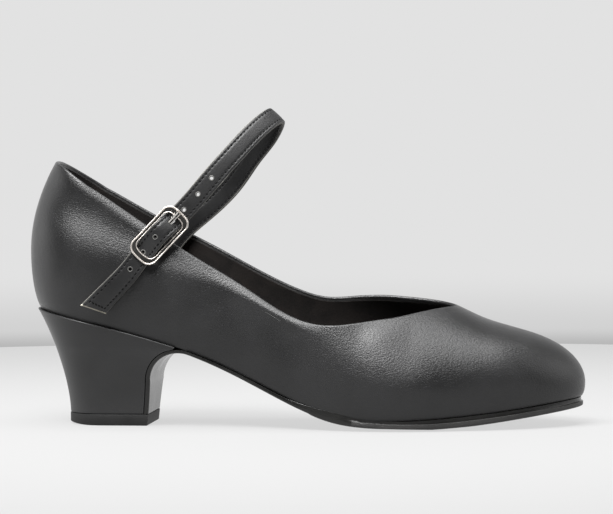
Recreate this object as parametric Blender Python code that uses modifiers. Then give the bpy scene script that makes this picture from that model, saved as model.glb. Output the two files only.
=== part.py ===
"""Dance shoe with a block heel and a buckled instep strap: the right shoe of a pair.

The shoe stands on its heel and on the ball of its sole. Metres, +Z up, toe towards +X, outer side towards -Y.
Shapes are worked out in the last's own frame, whose x runs from the back of the heel to the tip of the toe.
"""

import math
from collections import namedtuple
from itertools import pairwise

import bmesh
import bpy
import numpy as np
from mathutils import Matrix, Vector

# Driving dimensions
LENGTH = 0.247
BALL_WIDTH = 0.083
HEEL_HEIGHT = 0.0520
INSTEP_HEIGHT = 0.083
COLLAR_HEIGHT = 0.1155
WALL = 0.0018
GAP = 0.0003
OUTER = -1
INNER = 1

# Round ends of the outline, as lengths along the shoe
HEEL_CAP = 0.0295
TOE_CAP = 0.039
THROAT = 0.191
THROAT_CAP = 0.028

# Outline from above: station in shares of the length, half width in shares of the ball width.
# The swing bends the middle line towards the inner side, the tucks draw the wall in under its belly,
# and the welt is how far the sole stands out past the wall's lower edge.
Plan = namedtuple("Plan", "station swing half tuck_outer tuck_inner welt")
PLAN = (
    Plan(0.000, 0.0000, 0.355, 0.0043, 0.0043, 0.0012),
    Plan(0.101, 0.0000, 0.364, 0.0042, 0.0042, 0.0012),
    Plan(0.223, -0.0002, 0.372, 0.0040, 0.0042, 0.0011),
    Plan(0.385, -0.0025, 0.360, 0.0042, 0.0056, 0.0008),
    Plan(0.506, -0.0040, 0.405, 0.0038, 0.0050, 0.0008),
    Plan(0.628, -0.0027, 0.482, 0.0030, 0.0032, 0.0011),
    Plan(0.709, -0.0002, 0.498, 0.0028, 0.0027, 0.0013),
    Plan(0.798, 0.0021, 0.451, 0.0026, 0.0026, 0.0014),
    Plan(0.883, 0.0040, 0.390, 0.0022, 0.0022, 0.0014),
    Plan(1.000, 0.0058, 0.322, 0.0016, 0.0016, 0.0012),
)

# Side view: seat, the wall's lower edge, in shares of the heel height, arch, its rise on the inner side,
# belly, the height of the widest line above that edge, crown, the last's top, in shares of the instep
# height, and ridge, how far that top lies towards the inner side.
Side = namedtuple("Side", "station seat arch belly crown ridge")
SIDE = (
    Side(0.000, 1.000, 0.0000, 0.0250, 1.820, 0.0000),
    Side(0.101, 0.909, 0.0000, 0.0248, 1.670, 0.0000),
    Side(0.251, 0.715, 0.0004, 0.0235, 1.410, 0.0004),
    Side(0.324, 0.609, 0.0012, 0.0220, 1.300, 0.0010),
    Side(0.397, 0.456, 0.0018, 0.0205, 1.190, 0.0016),
    Side(0.470, 0.288, 0.0018, 0.0185, 1.070, 0.0022),
    Side(0.526, 0.177, 0.0012, 0.0168, 0.975, 0.0026),
    Side(0.599, 0.096, 0.0004, 0.0146, 0.846, 0.0030),
    Side(0.696, 0.077, 0.0000, 0.0126, 0.722, 0.0030),
    Side(0.773, 0.088, 0.0000, 0.0115, 0.631, 0.0026),
    Side(0.812, 0.106, 0.0000, 0.0109, 0.562, 0.0022),
    Side(0.866, 0.139, 0.0000, 0.0100, 0.518, 0.0015),
    Side(0.930, 0.189, 0.0000, 0.0080, 0.500, 0.0006),
    Side(1.000, 0.236, 0.0000, 0.0062, 0.494, 0.0000),
)

# Height of the collar on each side, in shares of its height at the back. Towards the throat the two lines
# run on down as if they never met, and THROAT_CAP then rounds the opening off.
Collar = namedtuple("Collar", "station outer inner")
COLLAR = (
    Collar(0.000, 1.000, 1.000),
    Collar(0.097, 0.931, 0.930),
    Collar(0.154, 0.875, 0.865),
    Collar(0.227, 0.774, 0.780),
    Collar(0.324, 0.642, 0.675),
    Collar(0.397, 0.552, 0.591),
    Collar(0.470, 0.456, 0.515),
    Collar(0.522, 0.409, 0.481),
    Collar(0.579, 0.402, 0.479),
    Collar(0.680, 0.428, 0.472),
    Collar(0.773, 0.405, 0.425),
)

# Wall of the upper
TUCK_START = math.radians(20)
HEEL_LEAN = 0.0106
HEEL_LEAN_POWER = 2.0
TUCK_ROWS = 3
WALL_ROWS = 9
HEEL_STEPS = 7
SIDE_STEPS = 15
THROAT_STEPS = 6
VAMP_STEPS = 2
TOE_STEPS = 8

# Sole
WAIST_THICKNESS = 0.0020
STEP = 0.1285
STEP_RUN = 0.0006
FLAT_START = 0.161
FLAT_END = 0.187
BALL_RISE = 0.0064
BALL_RISE_POWER = 1.9
TOE_SPRING = 0.0085
TOE_SPRING_POWER = 1.5
SOLE_EDGE = 0.0006
SOLE_STEPS = 12
INSOLE_THICKNESS = 0.0018

# Heel: the flap of the sole covers its front
BREAST = 0.0565
BREAST_ROUND = 0.0125
BREAST_STEPS = 9
BREAST_TOP_TURN = math.radians(62)
FLAP_STEPS = 4
LIFT_THICKNESS = 0.0050
LIFT_STEP = 0.0004
HEEL_BACK = 0.0174
HEEL_BASE_HALF = 0.0170
HEEL_BASE_ROUND = 0.46
HEEL_FLARE = 1.65
HEEL_SIDE_FLARE = 1.5
HEEL_LEVELS = 9
HEEL_BACK_STEPS = 7
HEEL_SIDE_STEPS = 5

# Buckle, in its own directions: along the strap, out from the ankle and across
BUCKLE_MIDDLE = Vector((0.0628, -0.0314, 0.0841))
BUCKLE_ALONG = Vector((0.0150, 0.0041, 0.0161)).normalized()
ANKLE = Vector((0.066, 0.0, 0.088))
FRAME_LENGTH = 0.0252
FRAME_WIDTH = 0.0132
FRAME_END = 0.0031
FRAME_RAIL = 0.0015
FRAME_THICKNESS = 0.0014
FRAME_BEVEL = 0.0003
FRAME_CORNER = 0.0030
CORNER_STEPS = 5
BAR_RADIUS = 0.0006
BAR_DROP = 0.0009
BAR_SIDES = 12
PRONG_WIDTH = 0.0018
PRONG_THICKNESS = 0.0006
PRONG_BEND = 0.0012
PRONG_DIP = 0.0002
PRONG_OVERHANG = 0.0002
TAB_WIDTH = 0.0086
TAB_THICKNESS = 0.0007
TAB_SLOT = Vector((0.0064, 0.0026, 0.0060))
WRAP_GAP = 0.00014
WRAP_STEPS = 12
PRONG_WRAP = (math.radians(-40), math.radians(-290))
TAB_WRAP = (math.radians(20), math.radians(290))
BAND_EDGE = 1 / 6

# Strap
STRAP_WIDTH = 0.0092
STRAP_THICKNESS = 0.0015
STRAP_EDGE = 0.0003
STRAP_STEPS = 84
STRAP_CUT = 0.0050
STRAP_CUT_FADE = 0.012
HOLE_RADIUS = 0.0007
HOLE_PITCH = 0.0091
HOLES_EACH_WAY = 3
HOLE_SIDES = 10
PRONG_SLOT = Vector((0.0058, 0.0024, 0.0060))
PRONG_SLOT_ALONG = 0.0058

# The strap's middle line: down the outer side from its cut end to the buckle, then through the buckle as
# along and out, then over the instep and down inside the inner collar.
Fold = namedtuple("Fold", "x y z")
STRAP_SIDE = (
    Fold(0.0324, -0.0332, 0.0515),
    Fold(0.0412, -0.0328, 0.0606),
    Fold(0.0490, -0.0324, 0.0690),
)
Pass = namedtuple("Pass", "along out")
STRAP_PASS = (
    Pass(-0.0125, -0.00190),
    Pass(-0.0092, -0.00175),
    Pass(-0.0045, 0.00060),
    Pass(0.0000, 0.00175),
    Pass(0.0042, 0.00125),
    Pass(0.0092, -0.00178),
    Pass(0.0125, -0.00195),
)
STRAP_ARCH = (
    Fold(0.0847, -0.0252, 0.1095),
    Fold(0.0941, -0.0218, 0.1203),
    Fold(0.1013, -0.0168, 0.1285),
    Fold(0.1074, -0.0095, 0.1347),
    Fold(0.1106, 0.0000, 0.1367),
    Fold(0.1072, 0.0095, 0.1292),
    Fold(0.0985, 0.0168, 0.1188),
    Fold(0.0904, 0.0206, 0.1092),
    Fold(0.0825, 0.0222, 0.1012),
    Fold(0.0747, 0.0227, 0.0940),
    Fold(0.0655, 0.0233, 0.0855),
    Fold(0.0585, 0.0247, 0.0773),
    Fold(0.0530, 0.0260, 0.0700),
)
TAB_OVER_COLLAR = (
    Pass(0.0016, -0.00195),
    Pass(0.0032, -0.00260),
    Pass(0.0041, -0.00390),
    Pass(0.0034, -0.00540),
    Pass(0.0014, -0.00620),
    Pass(-0.0040, -0.00640),
    Pass(-0.0100, -0.00650),
)

Finish = namedtuple("Finish", "colour roughness metallic")
BLACK_LEATHER = Finish((0.045, 0.045, 0.046), 0.45, 0.0)
HEEL_COVER = Finish((0.045, 0.045, 0.046), 0.40, 0.0)
SOLE_EDGE_BLACK = Finish((0.030, 0.030, 0.030), 0.35, 0.0)
LIFT_RUBBER = Finish((0.022, 0.022, 0.022), 0.55, 0.0)
SOCK_LINING = Finish((0.030, 0.024, 0.020), 0.80, 0.0)
ELASTIC_BLACK = Finish((0.025, 0.025, 0.025), 0.85, 0.0)
POLISHED_NICKEL = Finish((0.780, 0.760, 0.720), 0.12, 1.0)


def natural_spline(knots, values):
    """A smooth curve through values at the knots, as a function."""
    knots = np.asarray(knots, float)
    values = np.asarray(values, float)
    gaps = np.diff(knots)
    slopes = np.diff(values) / gaps
    last = len(knots) - 1
    system = np.eye(len(knots))
    right = np.zeros(len(knots))
    for row in range(1, last):
        system[row, row - 1 : row + 2] = gaps[row - 1], 2 * (gaps[row - 1] + gaps[row]), gaps[row]
        right[row] = 6 * (slopes[row] - slopes[row - 1])
    bends = np.linalg.solve(system, right)

    def value_at(x):
        x = min(max(x, knots[0]), knots[-1])
        row = min(max(int(np.searchsorted(knots, x)) - 1, 0), last - 1)
        step = gaps[row]
        after = (x - knots[row]) / step
        before = 1 - after
        curl = (before**3 - before) * bends[row] + (after**3 - after) * bends[row + 1]
        return before * values[row] + after * values[row + 1] + step**2 / 6 * curl

    return value_at


def columns_of(table):
    """Each named column of a table as a smooth curve along the shoe."""
    stations = [row.station * LENGTH for row in table]
    names = table[0]._fields[1:]
    return {name: natural_spline(stations, [getattr(row, name) for row in table]) for name in names}


plan = columns_of(PLAN)
side_view = columns_of(SIDE)
collar = columns_of(COLLAR)


def outline_turn(x):
    """How far the outline at x faces the heel, faces the toe, and faces sideways."""
    heel = max(0.0, 1 - x / HEEL_CAP)
    toe = max(0.0, 1 - (LENGTH - x) / TOE_CAP)
    sideways = math.sqrt(1 - heel**2) * math.sqrt(max(0.0, 1 - toe**2))
    return heel, toe, sideways


def feather_height(x, side):
    """Height of the wall's lower edge."""
    arch = side_view["arch"](x) if side == INNER else 0.0
    return side_view["seat"](x) * HEEL_HEIGHT + arch


def tuck(x, side):
    """How far the wall draws in under its belly."""
    return plan["tuck_inner" if side == INNER else "tuck_outer"](x)


def edge_point(x, side, inset):
    """Plan position of the wall's lower edge at x, moved inwards by inset."""
    heel, toe, sideways = outline_turn(x)
    drawn_in = tuck(x, side) + inset
    out = plan["half"](x) * BALL_WIDTH - drawn_in
    return x + drawn_in * (heel - toe), plan["swing"](x) + side * out * sideways


def wall_point(x, side, rise):
    """A point on the upper's outer face: rise is 0 at the lower edge, 1 at the belly and 2 on the ridge."""
    heel, toe, sideways = outline_turn(x)
    base = feather_height(x, side)
    belly = side_view["belly"](x)
    half = plan["half"](x) * BALL_WIDTH
    inset = 0.0
    lean = 0.0
    if rise <= 1:
        turn = TUCK_START + (math.pi / 2 - TUCK_START) * rise
        drawn = (math.sin(turn) - math.sin(TUCK_START)) / (1 - math.sin(TUCK_START))
        inset = tuck(x, side) * (1 - drawn)
        out = half - inset
        height = base + belly * (1 - math.cos(turn) / math.cos(TUCK_START))
    else:
        turn = (rise - 1) * math.pi / 2
        ridge = side * side_view["ridge"](x)
        out = ridge + (half - ridge) * math.cos(turn)
        dome = side_view["crown"](x) * INSTEP_HEIGHT - base - belly
        climb = dome * math.sin(turn) * math.sqrt(max(0.0, 1 - toe**2))
        height = base + belly + climb
        lean = HEEL_LEAN * (climb / (COLLAR_HEIGHT - base - belly)) ** HEEL_LEAN_POWER
    forward = (inset + lean) * heel - inset * toe
    return Vector((x + forward, plan["swing"](x) + side * out * sideways, height))


def collar_rise(x, side):
    """How high the wall goes at x: to the collar, or to the ridge in front of the throat."""
    if x >= THROAT:
        return 2.0
    base = feather_height(x, side) + side_view["belly"](x)
    line = collar["inner" if side == INNER else "outer"](x) * COLLAR_HEIGHT
    level = (line - base) / (side_view["crown"](x) * INSTEP_HEIGHT - base)
    throat = max(0.0, 1 - (THROAT - x) / THROAT_CAP)
    opening = math.sqrt(1 - level**2) * math.sqrt(1 - throat**2)
    return 1 + math.acos(opening) / (math.pi / 2)


def toe_stations(steps):
    """Stations that follow the round of the toe evenly, from where it starts to its tip."""
    return [LENGTH - TOE_CAP * (1 - math.sin(k / steps * math.pi / 2)) for k in range(steps + 1)]


def heel_stations(steps):
    """Stations that follow the round of the heel evenly, from its back to where it ends."""
    return [HEEL_CAP * (1 - math.cos(k / steps * math.pi / 2)) for k in range(steps)]


def upper_stations():
    """Every station of the upper, closer together round the heel, the throat and the toe."""
    straight = np.linspace(HEEL_CAP, THROAT - THROAT_CAP, SIDE_STEPS, endpoint=False)
    throat = [
        THROAT - THROAT_CAP * (1 - math.sin(k / THROAT_STEPS * math.pi / 2)) for k in range(THROAT_STEPS)
    ]
    vamp = np.linspace(THROAT, LENGTH - TOE_CAP, VAMP_STEPS, endpoint=False)
    return [*heel_stations(HEEL_STEPS), *straight, *throat, *vamp, *toe_stations(TOE_STEPS)]


def material_for(name, finish):
    """A plain Principled material."""
    material = bpy.data.materials.new(name)
    material.use_nodes = True
    shader = material.node_tree.nodes["Principled BSDF"]
    shader.inputs["Base Color"].default_value = (*finish.colour, 1)
    shader.inputs["Roughness"].default_value = finish.roughness
    shader.inputs["Metallic"].default_value = finish.metallic
    return material


def new_object(name, mesh, collection, finish=None):
    """A named object for a mesh, shaded smooth, in its collection."""
    thing = bpy.data.objects.new(name, mesh)
    collection.objects.link(thing)
    mesh.shade_smooth()
    mesh.set_sharp_from_angle(angle=math.radians(40))
    if finish:
        mesh.materials.append(material_for(name, finish))
    return thing


def mesh_from(name, shape):
    """The finished mesh of a bmesh whose doubled points are joined."""
    bmesh.ops.remove_doubles(shape, verts=shape.verts, dist=1e-6)
    bmesh.ops.dissolve_degenerate(shape, edges=shape.edges, dist=1e-7)
    mesh = bpy.data.meshes.new(name)
    shape.to_mesh(mesh)
    shape.free()
    return mesh


def loft(name, rings, strips=False):
    """A closed solid through rings of points, its ends filled: with strips from side to side if asked."""
    shape = bmesh.new()
    loops = [[shape.verts.new(point) for point in ring] for ring in rings]
    for near, far in pairwise(loops):
        for k in range(len(near)):
            following = (k + 1) % len(near)
            shape.faces.new((near[k], near[following], far[following], far[k]))
    for ring, loop in ((rings[0], loops[0]), (rings[-1], loops[-1])):
        if strips:
            for k in range(len(loop) // 2):
                shape.faces.new(dict.fromkeys((loop[k], loop[k + 1], loop[-2 - k], loop[-1 - k])))
        elif len({tuple(round(part, 7) for part in point) for point in ring}) == len(ring):
            shape.faces.new(loop)
    bmesh.ops.remove_doubles(shape, verts=shape.verts, dist=1e-6)
    bmesh.ops.recalc_face_normals(shape, faces=shape.faces)
    return mesh_from(name, shape)


def upper_mesh():
    """The upper's outer face as an open surface: the outer half, then the inner half, joined at both ends."""
    shape = bmesh.new()
    for side in (OUTER, INNER):
        columns = []
        for x in upper_stations():
            below = np.linspace(0, 1, TUCK_ROWS, endpoint=False)
            above = np.linspace(1, collar_rise(x, side), WALL_ROWS + 1)
            columns.append([shape.verts.new(wall_point(x, side, rise)) for rise in (*below, *above)])
        for near, far in pairwise(columns):
            for (low, high), (far_low, far_high) in zip(pairwise(near), pairwise(far)):
                corners = (low, far_low, far_high, high)
                shape.faces.new(corners if side == OUTER else corners[::-1])
    return mesh_from("upper", shape)


def make_upper(collection):
    """The hollow upper: its outer face with a wall put on inside."""
    upper = new_object("upper", upper_mesh(), collection, BLACK_LEATHER)
    wall = upper.modifiers.new("wall", "SOLIDIFY")
    wall.thickness = WALL
    wall.offset = -1
    wall.use_even_offset = True
    wall.use_quality_normals = True
    return upper


def tread_height(x, side):
    """Height of the sole's underside at x, outside the heel."""
    if x < STEP:
        return feather_height(x, side) - GAP - WAIST_THICKNESS
    if x < FLAT_START:
        return BALL_RISE * ((FLAT_START - x) / (FLAT_START - STEP)) ** BALL_RISE_POWER
    if x > FLAT_END:
        return TOE_SPRING * ((x - FLAT_END) / (LENGTH - FLAT_END)) ** TOE_SPRING_POWER
    return 0.0


def edge_ring(x, inset, top, bottom, bevel):
    """A ring round a plate that follows the wall's lower edge: top and bottom give heights for a side."""
    halves = []
    for side in (OUTER, INNER):
        rim = edge_point(x, side, inset)
        face = edge_point(x, side, inset + bevel)
        high = top(x, side)
        low = bottom(x, side)
        halves.append([(*face, high), (*rim, high - bevel), (*rim, low + bevel), (*face, low)])
    return halves[0] + halves[1][::-1]


class Breast:
    """The curved front of the heel: the sole leaves the waist, turns down and covers it."""

    reach = BREAST_ROUND + WAIST_THICKNESS
    middle_x = BREAST + BREAST_ROUND
    slope = (feather_height(middle_x, OUTER) - feather_height(middle_x + reach / 3, OUTER)) / (reach / 3)
    fall = math.atan(slope)
    leave = middle_x + reach * math.sin(fall)
    middle_z = feather_height(leave, OUTER) - GAP - reach * math.cos(fall)

    @classmethod
    def point(cls, turn, depth):
        """Side view of the curve: turn is 0 where it stands upright, depth 0 on the sole's top face."""
        radius = cls.reach - depth
        return cls.middle_x - radius * math.cos(turn), cls.middle_z + radius * math.sin(turn)

    @classmethod
    def heel_front(cls, height):
        """The heel block's front at a height, behind the flap."""
        radius = cls.reach + GAP
        turn = math.asin(min(max((height - cls.middle_z) / radius, 0.0), math.sin(BREAST_TOP_TURN)))
        return cls.middle_x - radius * math.cos(turn)


HEEL_BASE = LIFT_THICKNESS + GAP
HEEL_FRONT_TOP = Breast.heel_front(HEEL_HEIGHT)
HEEL_BACK_TOP = edge_point(0.0, OUTER, -plan["welt"](0.0))[0]


Rib = namedtuple("Rib", "station share width")


def heel_ribs():
    """Upright lines of the heel: station on the seat, share of the way to the front, width of the base."""
    ribs = []
    stations = [*heel_stations(HEEL_BACK_STEPS), *np.linspace(HEEL_CAP, HEEL_FRONT_TOP, HEEL_SIDE_STEPS)]
    for station in stations:
        along = edge_point(station, OUTER, -plan["welt"](station))[0]
        share = (along - HEEL_BACK_TOP) / (HEEL_FRONT_TOP - HEEL_BACK_TOP)
        left = max(0.0, 1 - share / HEEL_BASE_ROUND)
        ribs.append(Rib(station, share, math.sqrt(1 - left**2)))
    return ribs


def heel_half_width(rib, side, level):
    """Distance of the heel's side from the axis."""
    base = HEEL_BASE_HALF * rib.width
    seat = abs(edge_point(rib.station, side, -plan["welt"](rib.station))[1])
    return base + (seat - base) * level**HEEL_SIDE_FLARE


def heel_point(rib, side, level):
    """A point on the heel's side: level is 0 at its base and 1 at the seat."""
    seat = feather_height(rib.station, OUTER) - GAP
    height = HEEL_BASE + (seat - HEEL_BASE) * level
    back = HEEL_BACK + (HEEL_BACK_TOP - HEEL_BACK) * level**HEEL_FLARE
    front = Breast.heel_front(height)
    return back + (front - back) * rib.share, side * heel_half_width(rib, side, level), height


def round_the_heel(point):
    """A ring from the outer front corner round the back to the inner one, from a rib and a side."""
    ribs = heel_ribs()
    return [point(rib, OUTER) for rib in reversed(ribs)] + [point(rib, INNER) for rib in ribs[1:]]


def make_heel(collection):
    """The covered block heel, flared up to the seat."""
    rings = []
    for k in range(HEEL_LEVELS + 1):
        rings.append(round_the_heel(lambda rib, side: heel_point(rib, side, k / HEEL_LEVELS)))
    return new_object("heel", loft("heel", rings, strips=True), collection, HEEL_COVER)


def make_lift(collection):
    """The wear piece under the heel and its flap, a little proud of the heel."""
    half = HEEL_BASE_HALF + LIFT_STEP
    back = HEEL_BACK - LIFT_STEP
    edge = LIFT_STEP
    rings = []
    for height, inset in ((0.0, edge), (edge, 0.0), (LIFT_THICKNESS - edge, 0.0), (LIFT_THICKNESS, edge)):

        def point(rib, side):
            along = back + inset + rib.share * (BREAST - back - 2 * inset)
            return along, side * rib.width * (half - inset), height

        rings.append(round_the_heel(point))
    return new_object("heel_top_lift", loft("heel_top_lift", rings, strips=True), collection, LIFT_RUBBER)


def sole_ring(x):
    """A ring of the sole at a station in front of the heel."""

    def top(at, side):
        return feather_height(at, side) - GAP

    return edge_ring(x, -plan["welt"](x), top, tread_height, SOLE_EDGE)


def flap_ring(turn, drop):
    """A ring of the flap: round the breast's curve, or straight down it by drop."""
    heights = Breast.point(turn, 0.0)[1] - drop
    level = (heights - HEEL_BASE) / (feather_height(HEEL_FRONT_TOP, OUTER) - GAP - HEEL_BASE)
    halves = []
    for side in (OUTER, INNER):
        out = heel_half_width(heel_ribs()[-1], side, min(max(level, 0.0), 1.0))
        depths = (0.0, SOLE_EDGE, WAIST_THICKNESS - SOLE_EDGE, WAIST_THICKNESS)
        insets = (SOLE_EDGE, 0.0, 0.0, SOLE_EDGE)
        half = []
        for depth, inset in zip(depths, insets):
            x, z = Breast.point(turn, depth)
            half.append((x, side * (out - inset), z - drop))
        halves.append(half)
    return halves[0] + halves[1][::-1]


def make_outsole(collection):
    """The sole from the tip of the toe to the foot of the flap, with the step where the forefoot ends."""
    forefoot = np.linspace(LENGTH - TOE_CAP, STEP + STEP_RUN, SOLE_STEPS)[1:]
    forefoot = sorted({*(round(float(x), 6) for x in forefoot), FLAT_START, FLAT_END}, reverse=True)
    waist = np.linspace(STEP - STEP_RUN, Breast.leave, SOLE_STEPS)
    rings = [sole_ring(x) for x in reversed(toe_stations(TOE_STEPS))]
    rings += [sole_ring(x) for x in (*forefoot, *waist)]
    start = math.pi / 2 + Breast.fall
    rings += [flap_ring(start * (1 - k / BREAST_STEPS), 0.0) for k in range(1, BREAST_STEPS + 1)]
    foot = Breast.middle_z - HEEL_BASE
    rings += [flap_ring(0.0, foot * k / FLAP_STEPS) for k in range(1, FLAP_STEPS + 1)]
    return new_object("outsole", loft("outsole", rings), collection, SOLE_EDGE_BLACK)


def make_insole(collection):
    """The board that closes the inside, just clear of the wall all round."""
    edge = GAP

    def top(x, side):
        return feather_height(x, side) + INSOLE_THICKNESS

    stations = [
        *heel_stations(HEEL_STEPS),
        *np.linspace(HEEL_CAP, LENGTH - TOE_CAP, 2 * SOLE_STEPS, endpoint=False),
        *toe_stations(TOE_STEPS),
    ]
    rings = [edge_ring(x, WALL + GAP, top, feather_height, edge) for x in stations]
    return new_object("insole", loft("insole", rings), collection, SOCK_LINING)


class Buckle:
    """The buckle's own directions at its place on the ankle's outer side."""

    across = BUCKLE_ALONG.cross(BUCKLE_MIDDLE - ANKLE).normalized()
    out = across.cross(BUCKLE_ALONG).normalized()

    @classmethod
    def place(cls, along, out, across=0.0):
        """A point given along the strap, out from the ankle and across."""
        return BUCKLE_MIDDLE + BUCKLE_ALONG * along + cls.out * out + cls.across * across

    @classmethod
    def matrix(cls, along=0.0, out=0.0):
        """Turns x along the strap, y across and z out, and moves to a point."""
        turn = Matrix((BUCKLE_ALONG, -cls.across, cls.out)).transposed().to_4x4()
        return Matrix.Translation(cls.place(along, out)) @ turn


def ribbon_mesh(name, points, faces, width, thickness, edge, cut=None):
    """A band along points that faces the given ways: cut slides its edges along near its first end."""
    rings = []
    travelled = 0.0
    for k, point in enumerate(points):
        before = points[max(k - 1, 0)]
        after = points[min(k + 1, len(points) - 1)]
        travelled += (point - before).length
        along = (after - before).normalized()
        across = along.cross(faces[k]).normalized()
        out = across.cross(along).normalized()
        slide = cut(travelled) if cut else 0.0
        half = width / 2
        deep = thickness / 2
        corners = (
            (half - edge, deep),
            (half, deep - edge),
            (half, edge - deep),
            (half - edge, -deep),
            (edge - half, -deep),
            (-half, edge - deep),
            (-half, deep - edge),
            (edge - half, deep),
        )
        rings.append([point + across * a + out * b + along * slide * a / half for a, b in corners])
    return loft(name, rings)


def strap_path():
    """The strap's middle line as evenly spaced points, with the length at the prong's slot."""
    knots = [Vector(fold) for fold in STRAP_SIDE]
    knots += [Buckle.place(step.along, step.out) for step in STRAP_PASS]
    knots += [Vector(fold) for fold in STRAP_ARCH]
    lengths = np.concatenate([[0.0], np.cumsum([(b - a).length for a, b in pairwise(knots)])])
    curves = [natural_spline(lengths, [knot[axis] for knot in knots]) for axis in range(3)]

    def point_at(length):
        return Vector([curve(length) for curve in curves])

    points = [point_at(length) for length in np.linspace(0, lengths[-1], STRAP_STEPS + 1)]
    slot = min(
        np.linspace(0, lengths[-1], 10 * STRAP_STEPS),
        key=lambda length: (point_at(length) - Buckle.place(PRONG_SLOT_ALONG, 0.0)).length,
    )
    return points, point_at, slot


def facing(point, along):
    """The way a band round the ankle faces at a point."""
    away = point - ANKLE
    return (away - along * away.dot(along)).normalized()


def add_cut(thing, cutter):
    """Cuts one solid out of another."""
    cut = thing.modifiers.new(cutter.name, "BOOLEAN")
    cut.operation = "DIFFERENCE"
    cut.object = cutter


def new_cutter(name, mesh, cutters, matrix):
    """A helper solid that only cuts."""
    cutter = bpy.data.objects.new(name, mesh)
    cutters.objects.link(cutter)
    cutter.matrix_world = matrix
    cutter.hide_render = True
    cutter.display_type = "WIRE"
    return cutter


def box_mesh(name, size):
    """A box about its middle."""
    shape = bmesh.new()
    bmesh.ops.create_cube(shape, size=1.0, matrix=Matrix.Diagonal((*size, 1.0)))
    return mesh_from(name, shape)


def rod_mesh(name, radius, length, sides):
    """A rod along z about its middle."""
    shape = bmesh.new()
    bmesh.ops.create_cone(
        shape, cap_ends=True, segments=sides, radius1=radius, radius2=radius, depth=length
    )
    return mesh_from(name, shape)


def make_strap(collection, cutters):
    """The strap, with its slant cut end, its row of holes and the slot that the prong comes through."""
    points, point_at, slot = strap_path()

    def cut(travelled):
        return STRAP_CUT / 2 * max(0.0, 1 - travelled / STRAP_CUT_FADE)

    faces = [point - ANKLE for point in points]
    mesh = ribbon_mesh("strap", points, faces, STRAP_WIDTH, STRAP_THICKNESS, STRAP_EDGE, cut)
    strap = new_object("strap", mesh, collection, BLACK_LEATHER)
    slot_box = box_mesh("prong_slot", PRONG_SLOT)
    add_cut(strap, new_cutter("prong_slot", slot_box, cutters, Buckle.matrix(PRONG_SLOT_ALONG)))
    hole = rod_mesh("strap_hole", HOLE_RADIUS, 3 * STRAP_THICKNESS, HOLE_SIDES)
    for step in range(-HOLES_EACH_WAY, HOLES_EACH_WAY + 1):
        if step == 0:
            continue
        length = slot + step * HOLE_PITCH
        middle = point_at(length)
        along = (point_at(length + HOLE_RADIUS) - point_at(length - HOLE_RADIUS)).normalized()
        out = facing(middle, along)
        turn = Matrix((along, out.cross(along), out)).transposed().to_4x4()
        cutter = new_cutter(f"strap_hole_{step}", hole, cutters, Matrix.Translation(middle) @ turn)
        add_cut(strap, cutter)
    return strap


def rounded_rectangle(curve, length, width, corner):
    """Adds a closed outline with round corners to a flat curve."""
    points = []
    for quarter, (sign_x, sign_y) in enumerate(((1, 1), (-1, 1), (-1, -1), (1, -1))):
        middle_x = sign_x * (length / 2 - corner)
        middle_y = sign_y * (width / 2 - corner)
        for k in range(CORNER_STEPS + 1):
            turn = (quarter + k / CORNER_STEPS) * math.pi / 2
            points.append((middle_x + corner * math.cos(turn), middle_y + corner * math.sin(turn)))
    spline = curve.splines.new("POLY")
    spline.points.add(len(points) - 1)
    for point, (x, y) in zip(spline.points, points):
        point.co = (x, y, 0, 1)
    spline.use_cyclic_u = True


def frame_mesh():
    """The flat buckle frame, with its edges bevelled."""
    curve = bpy.data.curves.new("buckle_outline", "CURVE")
    curve.dimensions = "2D"
    curve.fill_mode = "BOTH"
    curve.extrude = FRAME_THICKNESS / 2 - FRAME_BEVEL
    curve.bevel_depth = FRAME_BEVEL
    curve.bevel_resolution = 0
    rounded_rectangle(
        curve, FRAME_LENGTH - 2 * FRAME_BEVEL, FRAME_WIDTH - 2 * FRAME_BEVEL, FRAME_CORNER - FRAME_BEVEL
    )
    window = (FRAME_LENGTH - 2 * FRAME_END, FRAME_WIDTH - 2 * FRAME_RAIL)
    inner_corner = FRAME_CORNER - FRAME_RAIL + FRAME_BEVEL
    rounded_rectangle(curve, window[0] + 2 * FRAME_BEVEL, window[1] + 2 * FRAME_BEVEL, inner_corner)
    outline = bpy.data.objects.new("buckle_outline", curve)
    bpy.context.scene.collection.objects.link(outline)
    graph = bpy.context.evaluated_depsgraph_get()
    mesh = bpy.data.meshes.new_from_object(outline.evaluated_get(graph))
    bpy.data.objects.remove(outline)
    shape = bmesh.new()
    shape.from_mesh(mesh)
    bmesh.ops.remove_doubles(shape, verts=shape.verts, dist=1e-6)
    bmesh.ops.recalc_face_normals(shape, faces=shape.faces)
    shape.to_mesh(mesh)
    shape.free()
    return mesh


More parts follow.
